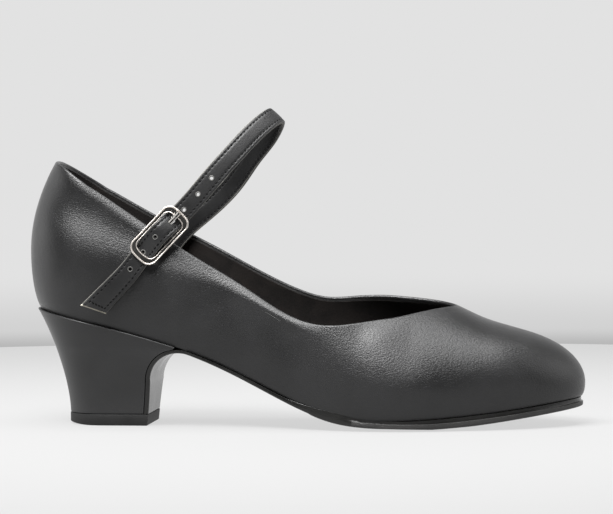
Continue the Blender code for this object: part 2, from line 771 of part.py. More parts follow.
def make_buckle(collection, cutters):
    """The frame with its centre bar, the prong round the bar and the tab that holds the bar to the collar."""
    frame = new_object("buckle_frame", frame_mesh(), collection, POLISHED_NICKEL)
    frame.matrix_world = Buckle.matrix()
    bar_turn = Matrix.Rotation(math.pi / 2, 4, "X")
    bar_length = FRAME_WIDTH - FRAME_RAIL
    bar = new_cutter(
        "buckle_bar",
        rod_mesh("buckle_bar", BAR_RADIUS, bar_length, BAR_SIDES),
        cutters,
        Buckle.matrix(0.0, -BAR_DROP) @ bar_turn,
    )
    join = frame.modifiers.new("bar", "BOOLEAN")
    join.operation = "UNION"
    join.object = bar

    def wrap(thickness, ends):
        radius = BAR_RADIUS + WRAP_GAP + thickness / 2
        turns = np.linspace(*ends, WRAP_STEPS + 1)
        return [(radius * math.cos(turn), radius * math.sin(turn) - BAR_DROP) for turn in turns]

    rest = FRAME_THICKNESS / 2 + WRAP_GAP + PRONG_THICKNESS / 2
    prong_path = wrap(PRONG_THICKNESS, PRONG_WRAP)
    prong_path.append((FRAME_LENGTH / 2 - FRAME_END - PRONG_BEND, rest - PRONG_DIP))
    prong_path.append((FRAME_LENGTH / 2 + PRONG_OVERHANG, rest))
    tab_path = wrap(TAB_THICKNESS, TAB_WRAP) + [tuple(step) for step in TAB_OVER_COLLAR]

    pieces = (
        ("buckle_prong", prong_path, PRONG_WIDTH, PRONG_THICKNESS, POLISHED_NICKEL),
        ("buckle_tab", tab_path, TAB_WIDTH, TAB_THICKNESS, ELASTIC_BLACK),
    )
    made = {}
    for name, path, width, thickness, finish in pieces:
        points = [Buckle.place(along, out) for along, out in path]
        faces = []
        for before, after in zip([points[0], *points[:-1]], [*points[1:], points[-1]]):
            faces.append(Buckle.across.cross(after - before))
        mesh = ribbon_mesh(name, points, faces, width, thickness, thickness * BAND_EDGE)
        made[name] = new_object(name, mesh, collection, finish)
    slot = new_cutter("tab_slot", box_mesh("tab_slot", TAB_SLOT), cutters, Buckle.matrix(0.0, -BAR_DROP))
    add_cut(made["buckle_tab"], slot)
    return [frame, *made.values()]


def main():
    """Builds every piece and moves the shoe so that its box stands over the origin."""
    for thing in list(bpy.data.objects):
        bpy.data.objects.remove(thing)
    shoe = bpy.data.collections.new("dance_shoe")
    cutters = bpy.data.collections.new("cutters")
    for collection in (shoe, cutters):
        bpy.context.scene.collection.children.link(collection)
    upper = make_upper(shoe)
    pieces = [upper, make_insole(shoe), make_outsole(shoe), make_heel(shoe), make_lift(shoe)]
    pieces += [make_strap(shoe, cutters), *make_buckle(shoe, cutters)]

    across = [vertex.co.y for vertex in upper.data.vertices]
    origin = bpy.data.objects.new("shoe_origin", None)
    shoe.objects.link(origin)
    bpy.context.view_layer.update()
    for piece in (*pieces, *cutters.objects):
        piece.parent = origin
    origin.location = (-LENGTH / 2, -(max(across) + min(across)) / 2, 0.0)


main()
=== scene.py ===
"""Looks of a dance shoe: a right character shoe with a block heel and a buckled instep strap.

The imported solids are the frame. Every piece here is shaped over the same last as they are, in metres, with
the toe towards +X, the outer side of the foot towards -Y and the floor at z = 0.
"""

import logging
import math
from bisect import bisect_right
from collections.abc import Callable, Sequence
from dataclasses import dataclass
from enum import Enum
from functools import cached_property
from itertools import pairwise
from typing import Any, NamedTuple

import bpy
import numpy as np
from mathutils import Matrix, Vector


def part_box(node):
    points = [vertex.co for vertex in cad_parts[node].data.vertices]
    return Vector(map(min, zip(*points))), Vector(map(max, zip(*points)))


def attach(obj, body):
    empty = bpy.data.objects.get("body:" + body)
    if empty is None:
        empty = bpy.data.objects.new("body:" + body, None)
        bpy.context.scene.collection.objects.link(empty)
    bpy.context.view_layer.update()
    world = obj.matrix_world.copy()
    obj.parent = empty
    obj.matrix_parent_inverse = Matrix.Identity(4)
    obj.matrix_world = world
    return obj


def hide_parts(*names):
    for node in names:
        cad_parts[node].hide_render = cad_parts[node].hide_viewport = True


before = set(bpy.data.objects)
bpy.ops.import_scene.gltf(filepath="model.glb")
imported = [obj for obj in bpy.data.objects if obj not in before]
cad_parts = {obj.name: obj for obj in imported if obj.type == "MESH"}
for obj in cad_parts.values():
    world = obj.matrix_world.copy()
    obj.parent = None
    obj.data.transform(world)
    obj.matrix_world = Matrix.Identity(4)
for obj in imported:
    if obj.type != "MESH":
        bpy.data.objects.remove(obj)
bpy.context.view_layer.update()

LOG = logging.getLogger("dance_shoe")
BODY = "root"
WELD = 1e-6
Triple = tuple[float, float, float]
Colour = Triple
Point = Triple
Pairs = tuple[tuple[float, float], ...]
Array = np.ndarray
Lengths = Array | float
Piece = bpy.types.Object
Face = bpy.types.MeshPolygon
Material = bpy.types.Material
Tree = bpy.types.NodeTree
Node = bpy.types.Node
Socket = bpy.types.NodeSocket


class Side(Enum):
    """The two sides of the foot, as signs across the shoe."""

    OUTER = -1
    INNER = 1


class PlanRow(NamedTuple):
    """Outline from above: station and half width as shares of length and ball width, the rest in metres."""

    station: float
    swing: float
    half: float
    tuck_outer: float
    tuck_inner: float
    welt: float


class SideRow(NamedTuple):
    """Side view: seat and crown as shares of the heel and instep heights, flank a power, the rest metres."""

    station: float
    seat: float
    arch: float
    belly: float
    crown: float
    ridge: float
    flank: float


class CollarRow(NamedTuple):
    """Height of the collar on each side, as shares of its height at the back."""

    station: float
    outer: float
    inner: float


class Pinch(NamedTuple):
    """How the quarter is drawn in: share, depth below the collar, spread in height, and extra pull."""

    station: float
    share: float
    depth: float
    spread: float
    hug: float


PLAN = tuple(PlanRow(*row) for row in (
    (0.0, 0.0, 0.355, 0.0043, 0.0043, 0.0012),
    (0.101, 0.0, 0.364, 0.0042, 0.0042, 0.0012),
    (0.223, -0.0002, 0.372, 0.004, 0.0042, 0.0011),
    (0.385, -0.0025, 0.36, 0.0042, 0.0056, 0.0008),
    (0.506, -0.004, 0.405, 0.0038, 0.005, 0.0008),
    (0.628, -0.0027, 0.482, 0.003, 0.0032, 0.0011),
    (0.709, -0.0002, 0.498, 0.0028, 0.0027, 0.0013),
    (0.798, 0.0021, 0.451, 0.0026, 0.0026, 0.0014),
    (0.883, 0.004, 0.39, 0.0022, 0.0022, 0.0012),
    (1.0, 0.0058, 0.322, 0.0016, 0.0016, 0.0006),
))
SIDE_VIEW = tuple(SideRow(*row) for row in (
    (0.0, 1.0, 0.0, 0.025, 1.82, 0.0, 1.0),
    (0.101, 0.909, 0.0, 0.0248, 1.67, 0.0, 1.0),
    (0.251, 0.727, 0.0004, 0.0235, 1.41, 0.0004, 1.0),
    (0.324, 0.609, 0.0012, 0.022, 1.3, 0.001, 1.0),
    (0.397, 0.456, 0.0018, 0.0205, 1.19, 0.0016, 1.0),
    (0.47, 0.288, 0.0018, 0.0185, 1.07, 0.0022, 1.0),
    (0.526, 0.177, 0.0012, 0.02, 0.975, 0.0026, 1.0),
    (0.599, 0.096, 0.0004, 0.0172, 0.846, 0.003, 1.17),
    (0.696, 0.092, 0.0, 0.0138, 0.722, 0.003, 1.23),
    (0.773, 0.114, 0.0, 0.0123, 0.631, 0.0026, 1.14),
    (0.812, 0.132, 0.0, 0.0119, 0.576, 0.0022, 1.05),
    (0.866, 0.16, 0.0, 0.0112, 0.526, 0.0015, 0.99),
    (0.93, 0.199, 0.0, 0.0084, 0.509, 0.0006, 0.98),
    (1.0, 0.242, 0.0, 0.0059, 0.506, 0.0, 1.0),
))
COLLAR = tuple(CollarRow(*row) for row in (
    (0.0, 1.016, 1.016),
    (0.036, 0.999, 0.986),
    (0.083, 0.962, 0.944),
    (0.118, 0.926, 0.909),
    (0.16, 0.87, 0.859),
    (0.227, 0.774, 0.78),
    (0.324, 0.642, 0.675),
    (0.397, 0.552, 0.591),
    (0.47, 0.456, 0.515),
    (0.522, 0.409, 0.481),
    (0.579, 0.402, 0.485),
    (0.68, 0.428, 0.484),
    (0.773, 0.405, 0.434),
))
PINCH = tuple(Pinch(*row) for row in (
    (0.0, 1.0, 0.0214, 0.0158, 0.0018),
    (0.08, 1.0, 0.0208, 0.0156, 0.0018),
    (0.16, 1.0, 0.0168, 0.0162, 0.0027),
    (0.3, 1.0, 0.0066, 0.0085, 0.0013),
    (0.39, 1.0, 0.002, 0.0055, 0.0003),
    (0.48, 1.0, 0.0006, 0.0036, 0.0),
    (0.56, 0.0, 0.0008, 0.007, 0.0),
    (0.64, 0.1, 0.001, 0.01, 0.0),
    (0.7, 0.0, 0.001, 0.01, 0.0),
    (0.76, 0.0, 0.001, 0.01, 0.0),
))


class Spline:
    """A natural cubic curve through values at knots."""

    def __init__(self, knots: Sequence[float], values: Sequence[float]) -> None:
        """Solves for the bend at each knot.

        Args:
            knots: Rising positions.
            values: The value at each knot.
        """
        self.knots = [float(knot) for knot in knots]
        self.values = [float(value) for value in values]
        gaps = np.diff(self.knots)
        slopes = np.diff(self.values) / gaps
        system = np.eye(len(self.knots))
        right = np.zeros(len(self.knots))
        for row in range(1, len(self.knots) - 1):
            system[row, row - 1 : row + 2] = gaps[row - 1], 2 * (gaps[row - 1] + gaps[row]), gaps[row]
            right[row] = 6 * (slopes[row] - slopes[row - 1])
        self.bends = np.linalg.solve(system, right).tolist()

    def __call__(self, x: float) -> float:
        """The value at a place, held level past both ends.

        Args:
            x: The place.

        Returns:
            The value there.
        """
        x = min(max(x, self.knots[0]), self.knots[-1])
        row = min(max(bisect_right(self.knots, x) - 1, 0), len(self.knots) - 2)
        step = self.knots[row + 1] - self.knots[row]
        after = (x - self.knots[row]) / step
        before = 1 - after
        curl = (before**3 - before) * self.bends[row] + (after**3 - after) * self.bends[row + 1]
        return before * self.values[row] + after * self.values[row + 1] + step**2 / 6 * curl


@dataclass(frozen=True)
class Section:
    """One upright cut through one side of the last."""

    x: float
    side: Side
    heel: float
    toe: float
    sideways: float
    swing: float
    half: float
    tuck: float
    base: float
    belly: float
    top: float
    ridge: float
    flank: float
    lean: float
    collar: float
    pinch: Pinch
    tuck_start: float = math.radians(20)
    roll_reach: float = 0.0055
    roll_share: float = 0.75

    def drawn(self, height: float) -> float:
        """How far out the wall stands where it is drawn in under the collar.

        Args:
            height: Height above the floor.

        Returns:
            The distance from the middle line.
        """
        if not self.pinch.share:
            return 0.0
        reach = self.collar - self.base - self.belly
        ridge = self.side.value * self.ridge
        level = reach / (self.top - self.base - self.belly)
        collar_out = ridge + (self.half - ridge) * (1 - level ** (2 / self.flank)) ** (self.flank / 2)
        spread = min(self.pinch.spread, reach - self.pinch.depth)
        shares = []
        for below in (self.collar - height, 0.0):
            part = held((self.pinch.depth + spread - below) / (2 * spread))
            shares.append(part - math.sin(2 * math.pi * part) / (2 * math.pi))
        roll = max(0.0, 1 - (self.collar - height) / self.roll_reach) ** 2
        pull = self.half - collar_out + self.pinch.hug * (1 - self.roll_share)
        return self.half - pull * min(shares[0] / shares[1], 1.0) - self.pinch.hug * self.roll_share * roll

    def point(self, rise: float) -> Point:
        """A point on the outer face.

        Args:
            rise: 0 at the lower edge, 1 at the belly and 2 on the ridge.

        Returns:
            The point in the last's frame.
        """
        inset = 0.0
        lean = 0.0
        if rise <= 1:
            turn = self.tuck_start + (math.pi / 2 - self.tuck_start) * rise
            drawn = (math.sin(turn) - math.sin(self.tuck_start)) / (1 - math.sin(self.tuck_start))
            inset = self.tuck * (1 - drawn)
            out = self.half - inset
            height = self.base + self.belly * (1 - math.cos(turn) / math.cos(self.tuck_start))
        else:
            turn = (rise - 1) * math.pi / 2
            ridge = self.side.value * self.ridge
            out = ridge + (self.half - ridge) * math.cos(turn) ** self.flank
            climb = (self.top - self.base - self.belly) * math.sin(turn) ** self.flank
            climb *= math.sqrt(max(0.0, 1 - self.toe**2))
            height = self.base + self.belly + climb
            lean = self.lean * climb**2
            out += (self.drawn(height) - out) * self.pinch.share
        forward = (inset + lean) * self.heel - inset * self.toe
        return self.x + forward, self.swing + self.side.value * out * self.sideways, height


@dataclass(frozen=True)
class Last:
    """The form that the shoe is drawn over. Its x runs from the back of the heel to the tip of the toe."""

    length: float = 0.247
    ball_width: float = 0.083
    heel_height: float = 0.0520
    instep_height: float = 0.083
    collar_height: float = 0.1155
    heel_cap: float = 0.0295
    toe_cap: float = 0.039
    throat: float = 0.191
    throat_cap: float = 0.028
    heel_lean: float = 0.0109

    @cached_property
    def curves(self) -> dict[str, Spline]:
        """Every named column of the tables as a smooth curve along the shoe."""
        made = {}
        for table in (PLAN, SIDE_VIEW, COLLAR, PINCH):
            stations = [row.station * self.length for row in table]
            for name in table[0]._fields[1:]:
                made[name] = Spline(stations, [getattr(row, name) for row in table])
        return made

    @cached_property
    def shift(self) -> Array:
        """Moves the last's frame to the shoe's: the heel's wear piece lies evenly about the last's axis."""
        low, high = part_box("heel_top_lift")
        return np.array((-self.length / 2, (low.y + high.y) / 2, 0.0))

    def turn(self, x: float) -> Triple:
        """How far the outline faces each way.

        Args:
            x: Station along the shoe.

        Returns:
            How far it faces the heel, the toe and sideways.
        """
        heel = max(0.0, 1 - x / self.heel_cap)
        toe = max(0.0, 1 - (self.length - x) / self.toe_cap)
        return heel, toe, math.sqrt(1 - heel**2) * math.sqrt(max(0.0, 1 - toe**2))

    def feather(self, x: float, side: Side) -> float:
        """Height of the wall's lower edge."""
        arch = self.curves["arch"](x) if side is Side.INNER else 0.0
        return self.curves["seat"](x) * self.heel_height + arch

    def tuck(self, x: float, side: Side) -> float:
        """How far the wall draws in under its belly."""
        return self.curves["tuck_inner" if side is Side.INNER else "tuck_outer"](x)

    def edge(self, x: float, side: Side, inset: float) -> tuple[float, float]:
        """Plan position of the wall's lower edge, moved inwards.

        Args:
            x: Station along the shoe.
            side: Side of the foot.
            inset: How far inwards, or outwards where it is negative.

        Returns:
            The position along and across the shoe.
        """
        heel, toe, sideways = self.turn(x)
        drawn_in = self.tuck(x, side) + inset
        out = self.curves["half"](x) * self.ball_width - drawn_in
        return x + drawn_in * (heel - toe), self.curves["swing"](x) + side.value * out * sideways

    def pinch(self, x: float, side: Side) -> Pinch:
        """How the quarter is drawn in at a station, on the buckle's side."""
        found = Pinch(x, *(self.curves[name](x) for name in Pinch._fields[1:]))
        return found if side is Side.OUTER and found.share > 0 else Pinch(x, 0.0, 0.0, 0.0, 0.0)

    def section(self, x: float, side: Side) -> Section:
        """The upright cut at a station.

        Args:
            x: Station along the shoe.
            side: Side of the foot.

        Returns:
            The cut, ready to give points.
        """
        heel, toe, sideways = self.turn(x)
        here = {name: curve(x) for name, curve in self.curves.items()}
        base = self.feather(x, side)
        return Section(
            x=x,
            side=side,
            heel=heel,
            toe=toe,
            sideways=sideways,
            swing=here["swing"],
            half=here["half"] * self.ball_width,
            tuck=self.tuck(x, side),
            base=base,
            belly=here["belly"],
            top=here["crown"] * self.instep_height,
            ridge=here["ridge"],
            flank=here["flank"] if side is Side.OUTER else 1.0,
            lean=self.heel_lean / (self.collar_height - base - here["belly"]) ** 2,
            collar=here[side.name.lower()] * self.collar_height,
            pinch=self.pinch(x, side),
        )

    def collar_rise(self, section: Section, drop: float) -> float:
        """How high the wall goes: to the collar, or to the ridge in front of the throat.

        Args:
            section: The cut.
            drop: How far below the collar's line the wall stops.

        Returns:
            The rise of the wall's top.
        """
        if section.x >= self.throat:
            return 2.0
        base = section.base + section.belly
        level = (section.collar - drop - base) / (section.top - base)
        throat = max(0.0, 1 - (self.throat - section.x) / self.throat_cap)
        opening = math.sqrt(1 - level ** (2 / section.flank)) * math.sqrt(1 - throat**2)
        return 1 + math.acos(opening) / (math.pi / 2)

    def toe_stations(self, steps: int) -> list[float]:
        """Stations that follow the round of the toe evenly, to its tip."""
        turns = np.linspace(0, math.pi / 2, steps + 1)
        return [self.length - self.toe_cap * (1 - math.sin(turn)) for turn in turns]

    def heel_stations(self, steps: int) -> list[float]:
        """Stations that follow the round of the heel evenly, from its back."""
        turns = np.linspace(0, math.pi / 2, steps, endpoint=False)
        return [self.heel_cap * (1 - math.cos(turn)) for turn in turns]


LAST = Last()


def held(value: float) -> float:
    """A value held between 0 and 1."""
    return min(max(value, 0.0), 1.0)


def smooth_normals(points: Array) -> Array:
    """Normals of a grid of points, shared wherever points of the grid meet.

    Args:
        points: Columns by rows by 3. Seen from outside, columns run to the right and rows run up.

    Returns:
        A unit normal for each point.
    """
    flat = points.reshape(-1, 3)
    _, joined = np.unique(np.round(flat, 6), axis=0, return_inverse=True)
    joined = joined.reshape(-1)
    index = np.arange(len(flat)).reshape(points.shape[:2])
    corners = [index[:-1, :-1], index[1:, :-1], index[1:, 1:], index[:-1, 1:]]
    first, second, third, fourth = (flat[corner.reshape(-1)] for corner in corners)
    faces = np.cross(third - first, fourth - second)
    total = np.zeros((joined.max() + 1, 3))
    for corner in corners:
        np.add.at(total, joined[corner.reshape(-1)], faces)
    normals = total[joined]
    normals /= np.maximum(np.linalg.norm(normals, axis=1, keepdims=True), 1e-12)
    return normals.reshape(points.shape)


def closed(points: Array, axis: int) -> Array:
    """The grid of points with its first line repeated at the end of an axis."""
    return np.concatenate([points, np.take(points, [0], axis=axis)], axis=axis)


def take_up(piece: Piece) -> None:
    """Selects one piece alone and makes it active.

    Args:
        piece: The piece.
    """
    bpy.ops.object.select_all(action="DESELECT")
    piece.select_set(True)
    bpy.context.view_layer.objects.active = piece


def name_piece(piece: Piece, name: str) -> Piece:
    """Names an object and its mesh."""
    piece.name = piece.data.name = name
    return piece


def primitive(add: Callable[..., Any], shaping: Matrix = Matrix.Identity(4), **sizes: Any) -> Piece:
    """Adds a primitive and shapes it by a matrix.

    Args:
        add: The operator that adds it.
        shaping: Scales, turns and moves its points.
        **sizes: Sizes for the operator.

    Returns:
        The object, itself unmoved.
    """
    bpy.ops.object.select_all(action="DESELECT")
    add(**sizes)
    bpy.context.object.data.transform(shaping)
    return bpy.context.object


def grid_piece(name: str, points: Array) -> Piece:
    """A grid primitive with its points moved into place.

    Args:
        name: Name of the piece.
        points: Columns by rows by 3, in the last's frame.

    Returns:
        The piece, in the shoe's frame.
    """
    columns, rows = points.shape[:2]
    sizes = {"x_subdivisions": columns - 1, "y_subdivisions": rows - 1, "size": 1.0}
    piece = name_piece(primitive(bpy.ops.mesh.primitive_grid_add, **sizes), name)
    placed = points.transpose(1, 0, 2).reshape(-1, 3) + LAST.shift
    piece.data.vertices.foreach_set("co", placed.reshape(-1))
    piece.data.update()
    return piece


def drop_faces(piece: Piece, marked: Array) -> None:
    """Deletes some faces of a piece.

    Args:
        piece: A grid piece that still has all its faces.
        marked: True for each face to delete, columns by rows.
    """
    take_up(piece)
    bpy.context.tool_settings.mesh_select_mode = (False, False, True)
    bpy.ops.object.mode_set(mode="EDIT")
    bpy.ops.mesh.select_all(action="DESELECT")
    bpy.ops.object.mode_set(mode="OBJECT")
    piece.data.polygons.foreach_set("select", marked.T.reshape(-1))
    bpy.ops.object.mode_set(mode="EDIT")
    bpy.ops.mesh.delete(type="FACE")
    bpy.ops.object.mode_set(mode="OBJECT")


def weld(piece: Piece, fill: bool = False) -> Piece:
    """Joins doubled points, fills open ends if asked, and turns the faces outwards.

    Args:
        piece: The piece.
        fill: Whether its open ends are filled.

    Returns:
        The piece.
    """
    take_up(piece)
    bpy.context.tool_settings.mesh_select_mode = (True, False, False)
    bpy.ops.object.mode_set(mode="EDIT")
    bpy.ops.mesh.select_all(action="SELECT")
    bpy.ops.mesh.remove_doubles(threshold=WELD)
    bpy.ops.mesh.dissolve_degenerate(threshold=WELD / 10)
    bpy.ops.mesh.select_all(action="SELECT")
    if fill:
        bpy.ops.mesh.fill_holes(sides=0)
        bpy.ops.mesh.select_all(action="SELECT")
        bpy.ops.mesh.normals_make_consistent(inside=False)
    bpy.ops.object.mode_set(mode="OBJECT")
    return piece


def tube_piece(name: str, rings: Array, looped: bool = False) -> Piece:
    """A closed solid through rings of points.

    Args:
        name: Name of the piece.
        rings: Rings by points by 3, in the last's frame.
        looped: Whether the last ring leads back to the first one. If not, both ends are filled.

    Returns:
        The piece.
    """
    points = closed(rings, 1)
    return weld(grid_piece(name, closed(points, 0) if looped else points), fill=True)


def apply(piece: Piece, kind: str, **settings: Any) -> None:
    """Adds a modifier to a piece and applies it.

    Args:
        piece: The piece.
        kind: Type of the modifier.
        **settings: Its properties.
    """
    take_up(piece)
    modifier = piece.modifiers.new(kind.lower(), kind)
    for name, value in settings.items():
        setattr(modifier, name, value)
    bpy.ops.object.modifier_apply(modifier=modifier.name)


def smooth(piece: Piece, degrees: float) -> None:
    """Shades a piece smooth, apart from edges sharper than an angle."""
    take_up(piece)
    bpy.ops.object.shade_smooth_by_angle(angle=math.radians(degrees))


def join(name: str, pieces: list[Piece]) -> Piece:
    """Joins pieces into one.

    Args:
        name: Name of the joined piece.
        pieces: The pieces, of which the first takes the rest.

    Returns:
        The joined piece.
    """
    take_up(pieces[0])
    for piece in pieces[1:]:
        piece.select_set(True)
    bpy.ops.object.join()
    return name_piece(bpy.context.object, name)


def repeat(name: str, seed: Piece, places: list[Matrix]) -> Piece:
    """Copies a small shape to many places and joins the copies into one piece.

    Args:
        name: Name of the piece.
        seed: The shape, which is used up.
        places: A matrix for each copy.

    Returns:
        The piece.
    """
    copies = []
    for place in places:
        copy = seed.copy()
        copy.data = seed.data.copy()
        copy.data.transform(place)
        bpy.context.scene.collection.objects.link(copy)
        copies.append(copy)
    bpy.data.objects.remove(seed)
    return join(name, copies)


def dress(
    piece: Piece, material: Material, replaced: Sequence[str] = (), degrees: float | None = 35.0
) -> None:
    """Smooths a piece, gives it its finish and hangs it on the shoe.

    Args:
        piece: The finished piece.
        material: Its main material.
        replaced: Solids of the frame that it stands for.
        degrees: Edges sharper than this stay sharp. None leaves the smoothing to a later step.
    """
    if degrees is not None:
        smooth(piece, degrees)
    piece.data.materials.clear()
    piece.data.materials.append(material)
    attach(piece, BODY)
    if replaced:
        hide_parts(*replaced)
    LOG.info("%s: %d faces", piece.name, len(piece.data.polygons))


def paint_faces(piece: Piece, material: Material, chosen: Callable[[Face], bool]) -> None:
    """Gives some faces of a piece a further material.

    Args:
        piece: The piece.
        material: The further material.
        chosen: Says whether a face takes it.
    """
    piece.data.materials.append(material)
    index = len(piece.data.materials) - 1
    for face in piece.data.polygons:
        if chosen(face):
            face.material_index = index


class Nodes:
    """A shader node tree that is filled by short calls."""

    def __init__(self, tree: Tree) -> None:
        """Takes the tree to fill."""
        self.tree = tree

    def add(self, kind: str, inputs: dict[str | int, Any] | None = None, **settings: Any) -> Node:
        """Adds a node.

        Args:
            kind: Type of the node, without its prefix.
            inputs: A value or another node's socket for each input.
            **settings: Properties of the node.

        Returns:
            The node.
        """
        node = self.tree.nodes.new(f"ShaderNode{kind}")
        for name, value in settings.items():
            setattr(node, name, value)
        self.fill(node, inputs or {})
        return node

    def fill(self, node: Node, inputs: dict[str | int, Any]) -> None:
        """Gives a node's inputs what they take.

        Args:
            node: The node.
            inputs: A value or another node's socket for each input.
        """
        for name, value in inputs.items():
            if isinstance(value, Socket):
                self.tree.links.new(value, node.inputs[name])
            else:
                node.inputs[name].default_value = value

    def noise(self, place: Socket, scale: Any, **more: float) -> Socket:
        """Cloudy noise at a place. Further inputs are named as on the node, in small letters."""
        named = {name.capitalize(): value for name, value in more.items()}
        return self.add("TexNoise", {"Vector": place, "Scale": scale, **named}).outputs[0]

    def stretch(self, place: Socket, scale: Triple) -> Socket:
        """A place with its axes scaled, so that a pattern is drawn out along them."""
        return self.add("Mapping", {"Vector": place, "Scale": scale}).outputs[0]

    def times(self, first: Any, second: Any) -> Socket:
        """first times second."""
        return self.add("Math", {0: first, 1: second}, operation="MULTIPLY").outputs[0]

    def sum(self, first: Any, second: Any, share: float) -> Socket:
        """first plus a share of second."""
        return self.add("Math", {0: second, 1: share, 2: first}, operation="MULTIPLY_ADD").outputs[0]

    def span(self, value: Any, low: float, high: float, to_low: float, to_high: float) -> Socket:
        """A value carried smoothly from one range to another.

        Args:
            value: The value.
            low: Start of its range.
            high: End of its range.
            to_low: What the start becomes.
            to_high: What the end becomes.

        Returns:
            The carried value.
        """
        inputs = {0: value, 1: low, 2: high, 3: to_low, 4: to_high}
        return self.add("MapRange", inputs, interpolation_type="SMOOTHSTEP").outputs[0]

    def mix(self, share: Any, first: Colour, second: Colour) -> Socket:
        """A colour between two, by a share."""
        inputs = {0: share, 6: (*first, 1), 7: (*second, 1)}
        return self.add("Mix", inputs, data_type="RGBA").outputs[2]


def new_group(name: str, inputs: Sequence[str], outputs: Sequence[str]) -> tuple[Nodes, Any, Any]:
    """An empty node group whose first input is a place on the surface and whose others are values.

    Args:
        name: Name of the group.
        inputs: Names of its inputs.
        outputs: Names of its outputs.

    Returns:
        Its nodes, the sockets that come in, and the node that takes what goes out.
    """
    tree = bpy.data.node_groups.new(name, "ShaderNodeTree")
    for place, label in enumerate(inputs):
        kind = "NodeSocketFloat" if place else "NodeSocketVector"
        tree.interface.new_socket(label, in_out="INPUT", socket_type=kind)
    for label in outputs:
        tree.interface.new_socket(label, in_out="OUTPUT", socket_type="NodeSocketFloat")
    come_in = tree.nodes.new("NodeGroupInput")
    go_out = tree.nodes.new("NodeGroupOutput")
    return Nodes(tree), come_in.outputs, go_out


def leather_grain() -> Tree:
    """The pebble of leather, drawn out along the shoe, with fine crinkles and slow changes of tone.

    Returns:
        A group from a place, the grain's pitch and the crinkles' share to a height and a tone.
    """
    nodes, given, out = new_group("leather_grain", ("Place", "Pitch", "Crinkle"), ("Height", "Tone"))
    stretched = nodes.stretch(given["Place"], (0.62, 0.8, 1.0))
    cells = {"Vector": stretched, "Scale": given["Pitch"], "Randomness": 1.0}
    pebble = nodes.add("TexVoronoi", cells, feature="SMOOTH_F1").outputs[0]
    pores = nodes.noise(stretched, given["Pitch"], detail=4.0, roughness=0.6)
    drawn_out = nodes.stretch(given["Place"], (0.45, 0.6, 1.0))
    crinkle = nodes.noise(drawn_out, given["Pitch"], detail=3.0, distortion=0.5)
    slow = nodes.noise(given["Place"], 34.0, detail=3.0)
    folds = nodes.times(nodes.span(crinkle, 0.40, 0.62, 0.0, 1.0), given["Crinkle"])
    height = nodes.sum(nodes.sum(pores, pebble, -0.8), folds, 0.7)
    tone = nodes.sum(nodes.span(slow, 0.35, 0.65, 0.0, 0.7), pores, 0.5)
    nodes.fill(out, {"Height": height, "Tone": tone})
    return nodes.tree


def short_nap() -> Tree:
    """The nap of suede: short fibres brushed in patches.

    Returns:
        A group from a place and the fibres' pitch to a height and a tone.
    """
    nodes, given, out = new_group("short_nap", ("Place", "Pitch"), ("Height", "Tone"))
    brushed = nodes.stretch(given["Place"], (0.45, 1.0, 0.8))
    fibre = nodes.noise(brushed, given["Pitch"], detail=5.0, roughness=0.7)
    patch = nodes.noise(given["Place"], 75.0, detail=3.0, distortion=1.2)
    tone = nodes.sum(nodes.span(patch, 0.38, 0.62, 0.0, 0.75), fibre, 0.4)
    nodes.fill(out, {"Height": fibre, "Tone": tone})
    return nodes.tree


def light_scuffs() -> Tree:
    """Sparse rubbed marks that lie along the shoe and fade away from the floor.

    Returns:
        A group from a place and the height where the marks end to a mask.
    """
    nodes, given, out = new_group("light_scuffs", ("Place", "Reach"), ("Mask",))
    along = nodes.stretch(given["Place"], (0.3, 0.7, 1.0))
    rubbed = nodes.span(nodes.noise(along, 420.0, detail=4.0, roughness=0.65), 0.56, 0.70, 0.0, 1.0)
    here = nodes.span(nodes.noise(given["Place"], 60.0, detail=2.0), 0.46, 0.62, 0.0, 1.0)
    height = nodes.add("SeparateXYZ", {0: given["Place"]}).outputs[2]
    share = nodes.add("Math", {0: height, 1: given["Reach"]}, operation="DIVIDE").outputs[0]
    low = nodes.span(share, 0.1, 1.0, 1.0, 0.0)
    nodes.fill(out, {"Mask": nodes.times(nodes.times(rubbed, here), low)})
    return nodes.tree


class Effect(Enum):
    """Effects that several finishes share."""

    GRAIN = "leather_grain"
    NAP = "short_nap"
    SCUFFS = "light_scuffs"

    @property
    def group(self) -> Tree:
        """The effect's node group, made when it is first asked for."""
        makers = {Effect.GRAIN: leather_grain, Effect.NAP: short_nap, Effect.SCUFFS: light_scuffs}
        return bpy.data.node_groups.get(self.value) or makers[self]()


@dataclass(frozen=True)
class Finish:
    """What every finish has: a name, its darkest and lightest colours, its roughness from shiny to dull."""

    name: str
    dark: Colour
    light: Colour
    shiny: float
    dull: float

    def start(self) -> tuple[Material, Nodes, Node, Socket]:
        """An empty material.

        Returns:
            The material, its nodes, its shader and the place on the surface.
        """
        material = bpy.data.materials.new(self.name)
        material.use_nodes = True
        nodes = Nodes(material.node_tree)
        place = nodes.add("TexCoord").outputs["Object"]
        return material, nodes, material.node_tree.nodes["Principled BSDF"], place

    def shade(self, nodes: Nodes, shader: Node, tone: Socket, height: Socket, depth: float) -> None:
        """Drives the shader's colour, roughness and fine relief.

        Args:
            nodes: Nodes of the material.
            shader: Its shader.
            tone: From 0, dark and shiny, to 1, light and dull.
            height: The relief.
            depth: How deep the relief goes.
        """
        colour = nodes.mix(tone, self.dark, self.light)
        rough = nodes.span(tone, 0.0, 1.0, self.shiny, self.dull)
        bump = nodes.add("Bump", {"Height": height, "Distance": depth, "Strength": 1.0}).outputs[0]
        nodes.fill(shader, {"Base Color": colour, "Roughness": rough, "Normal": bump})


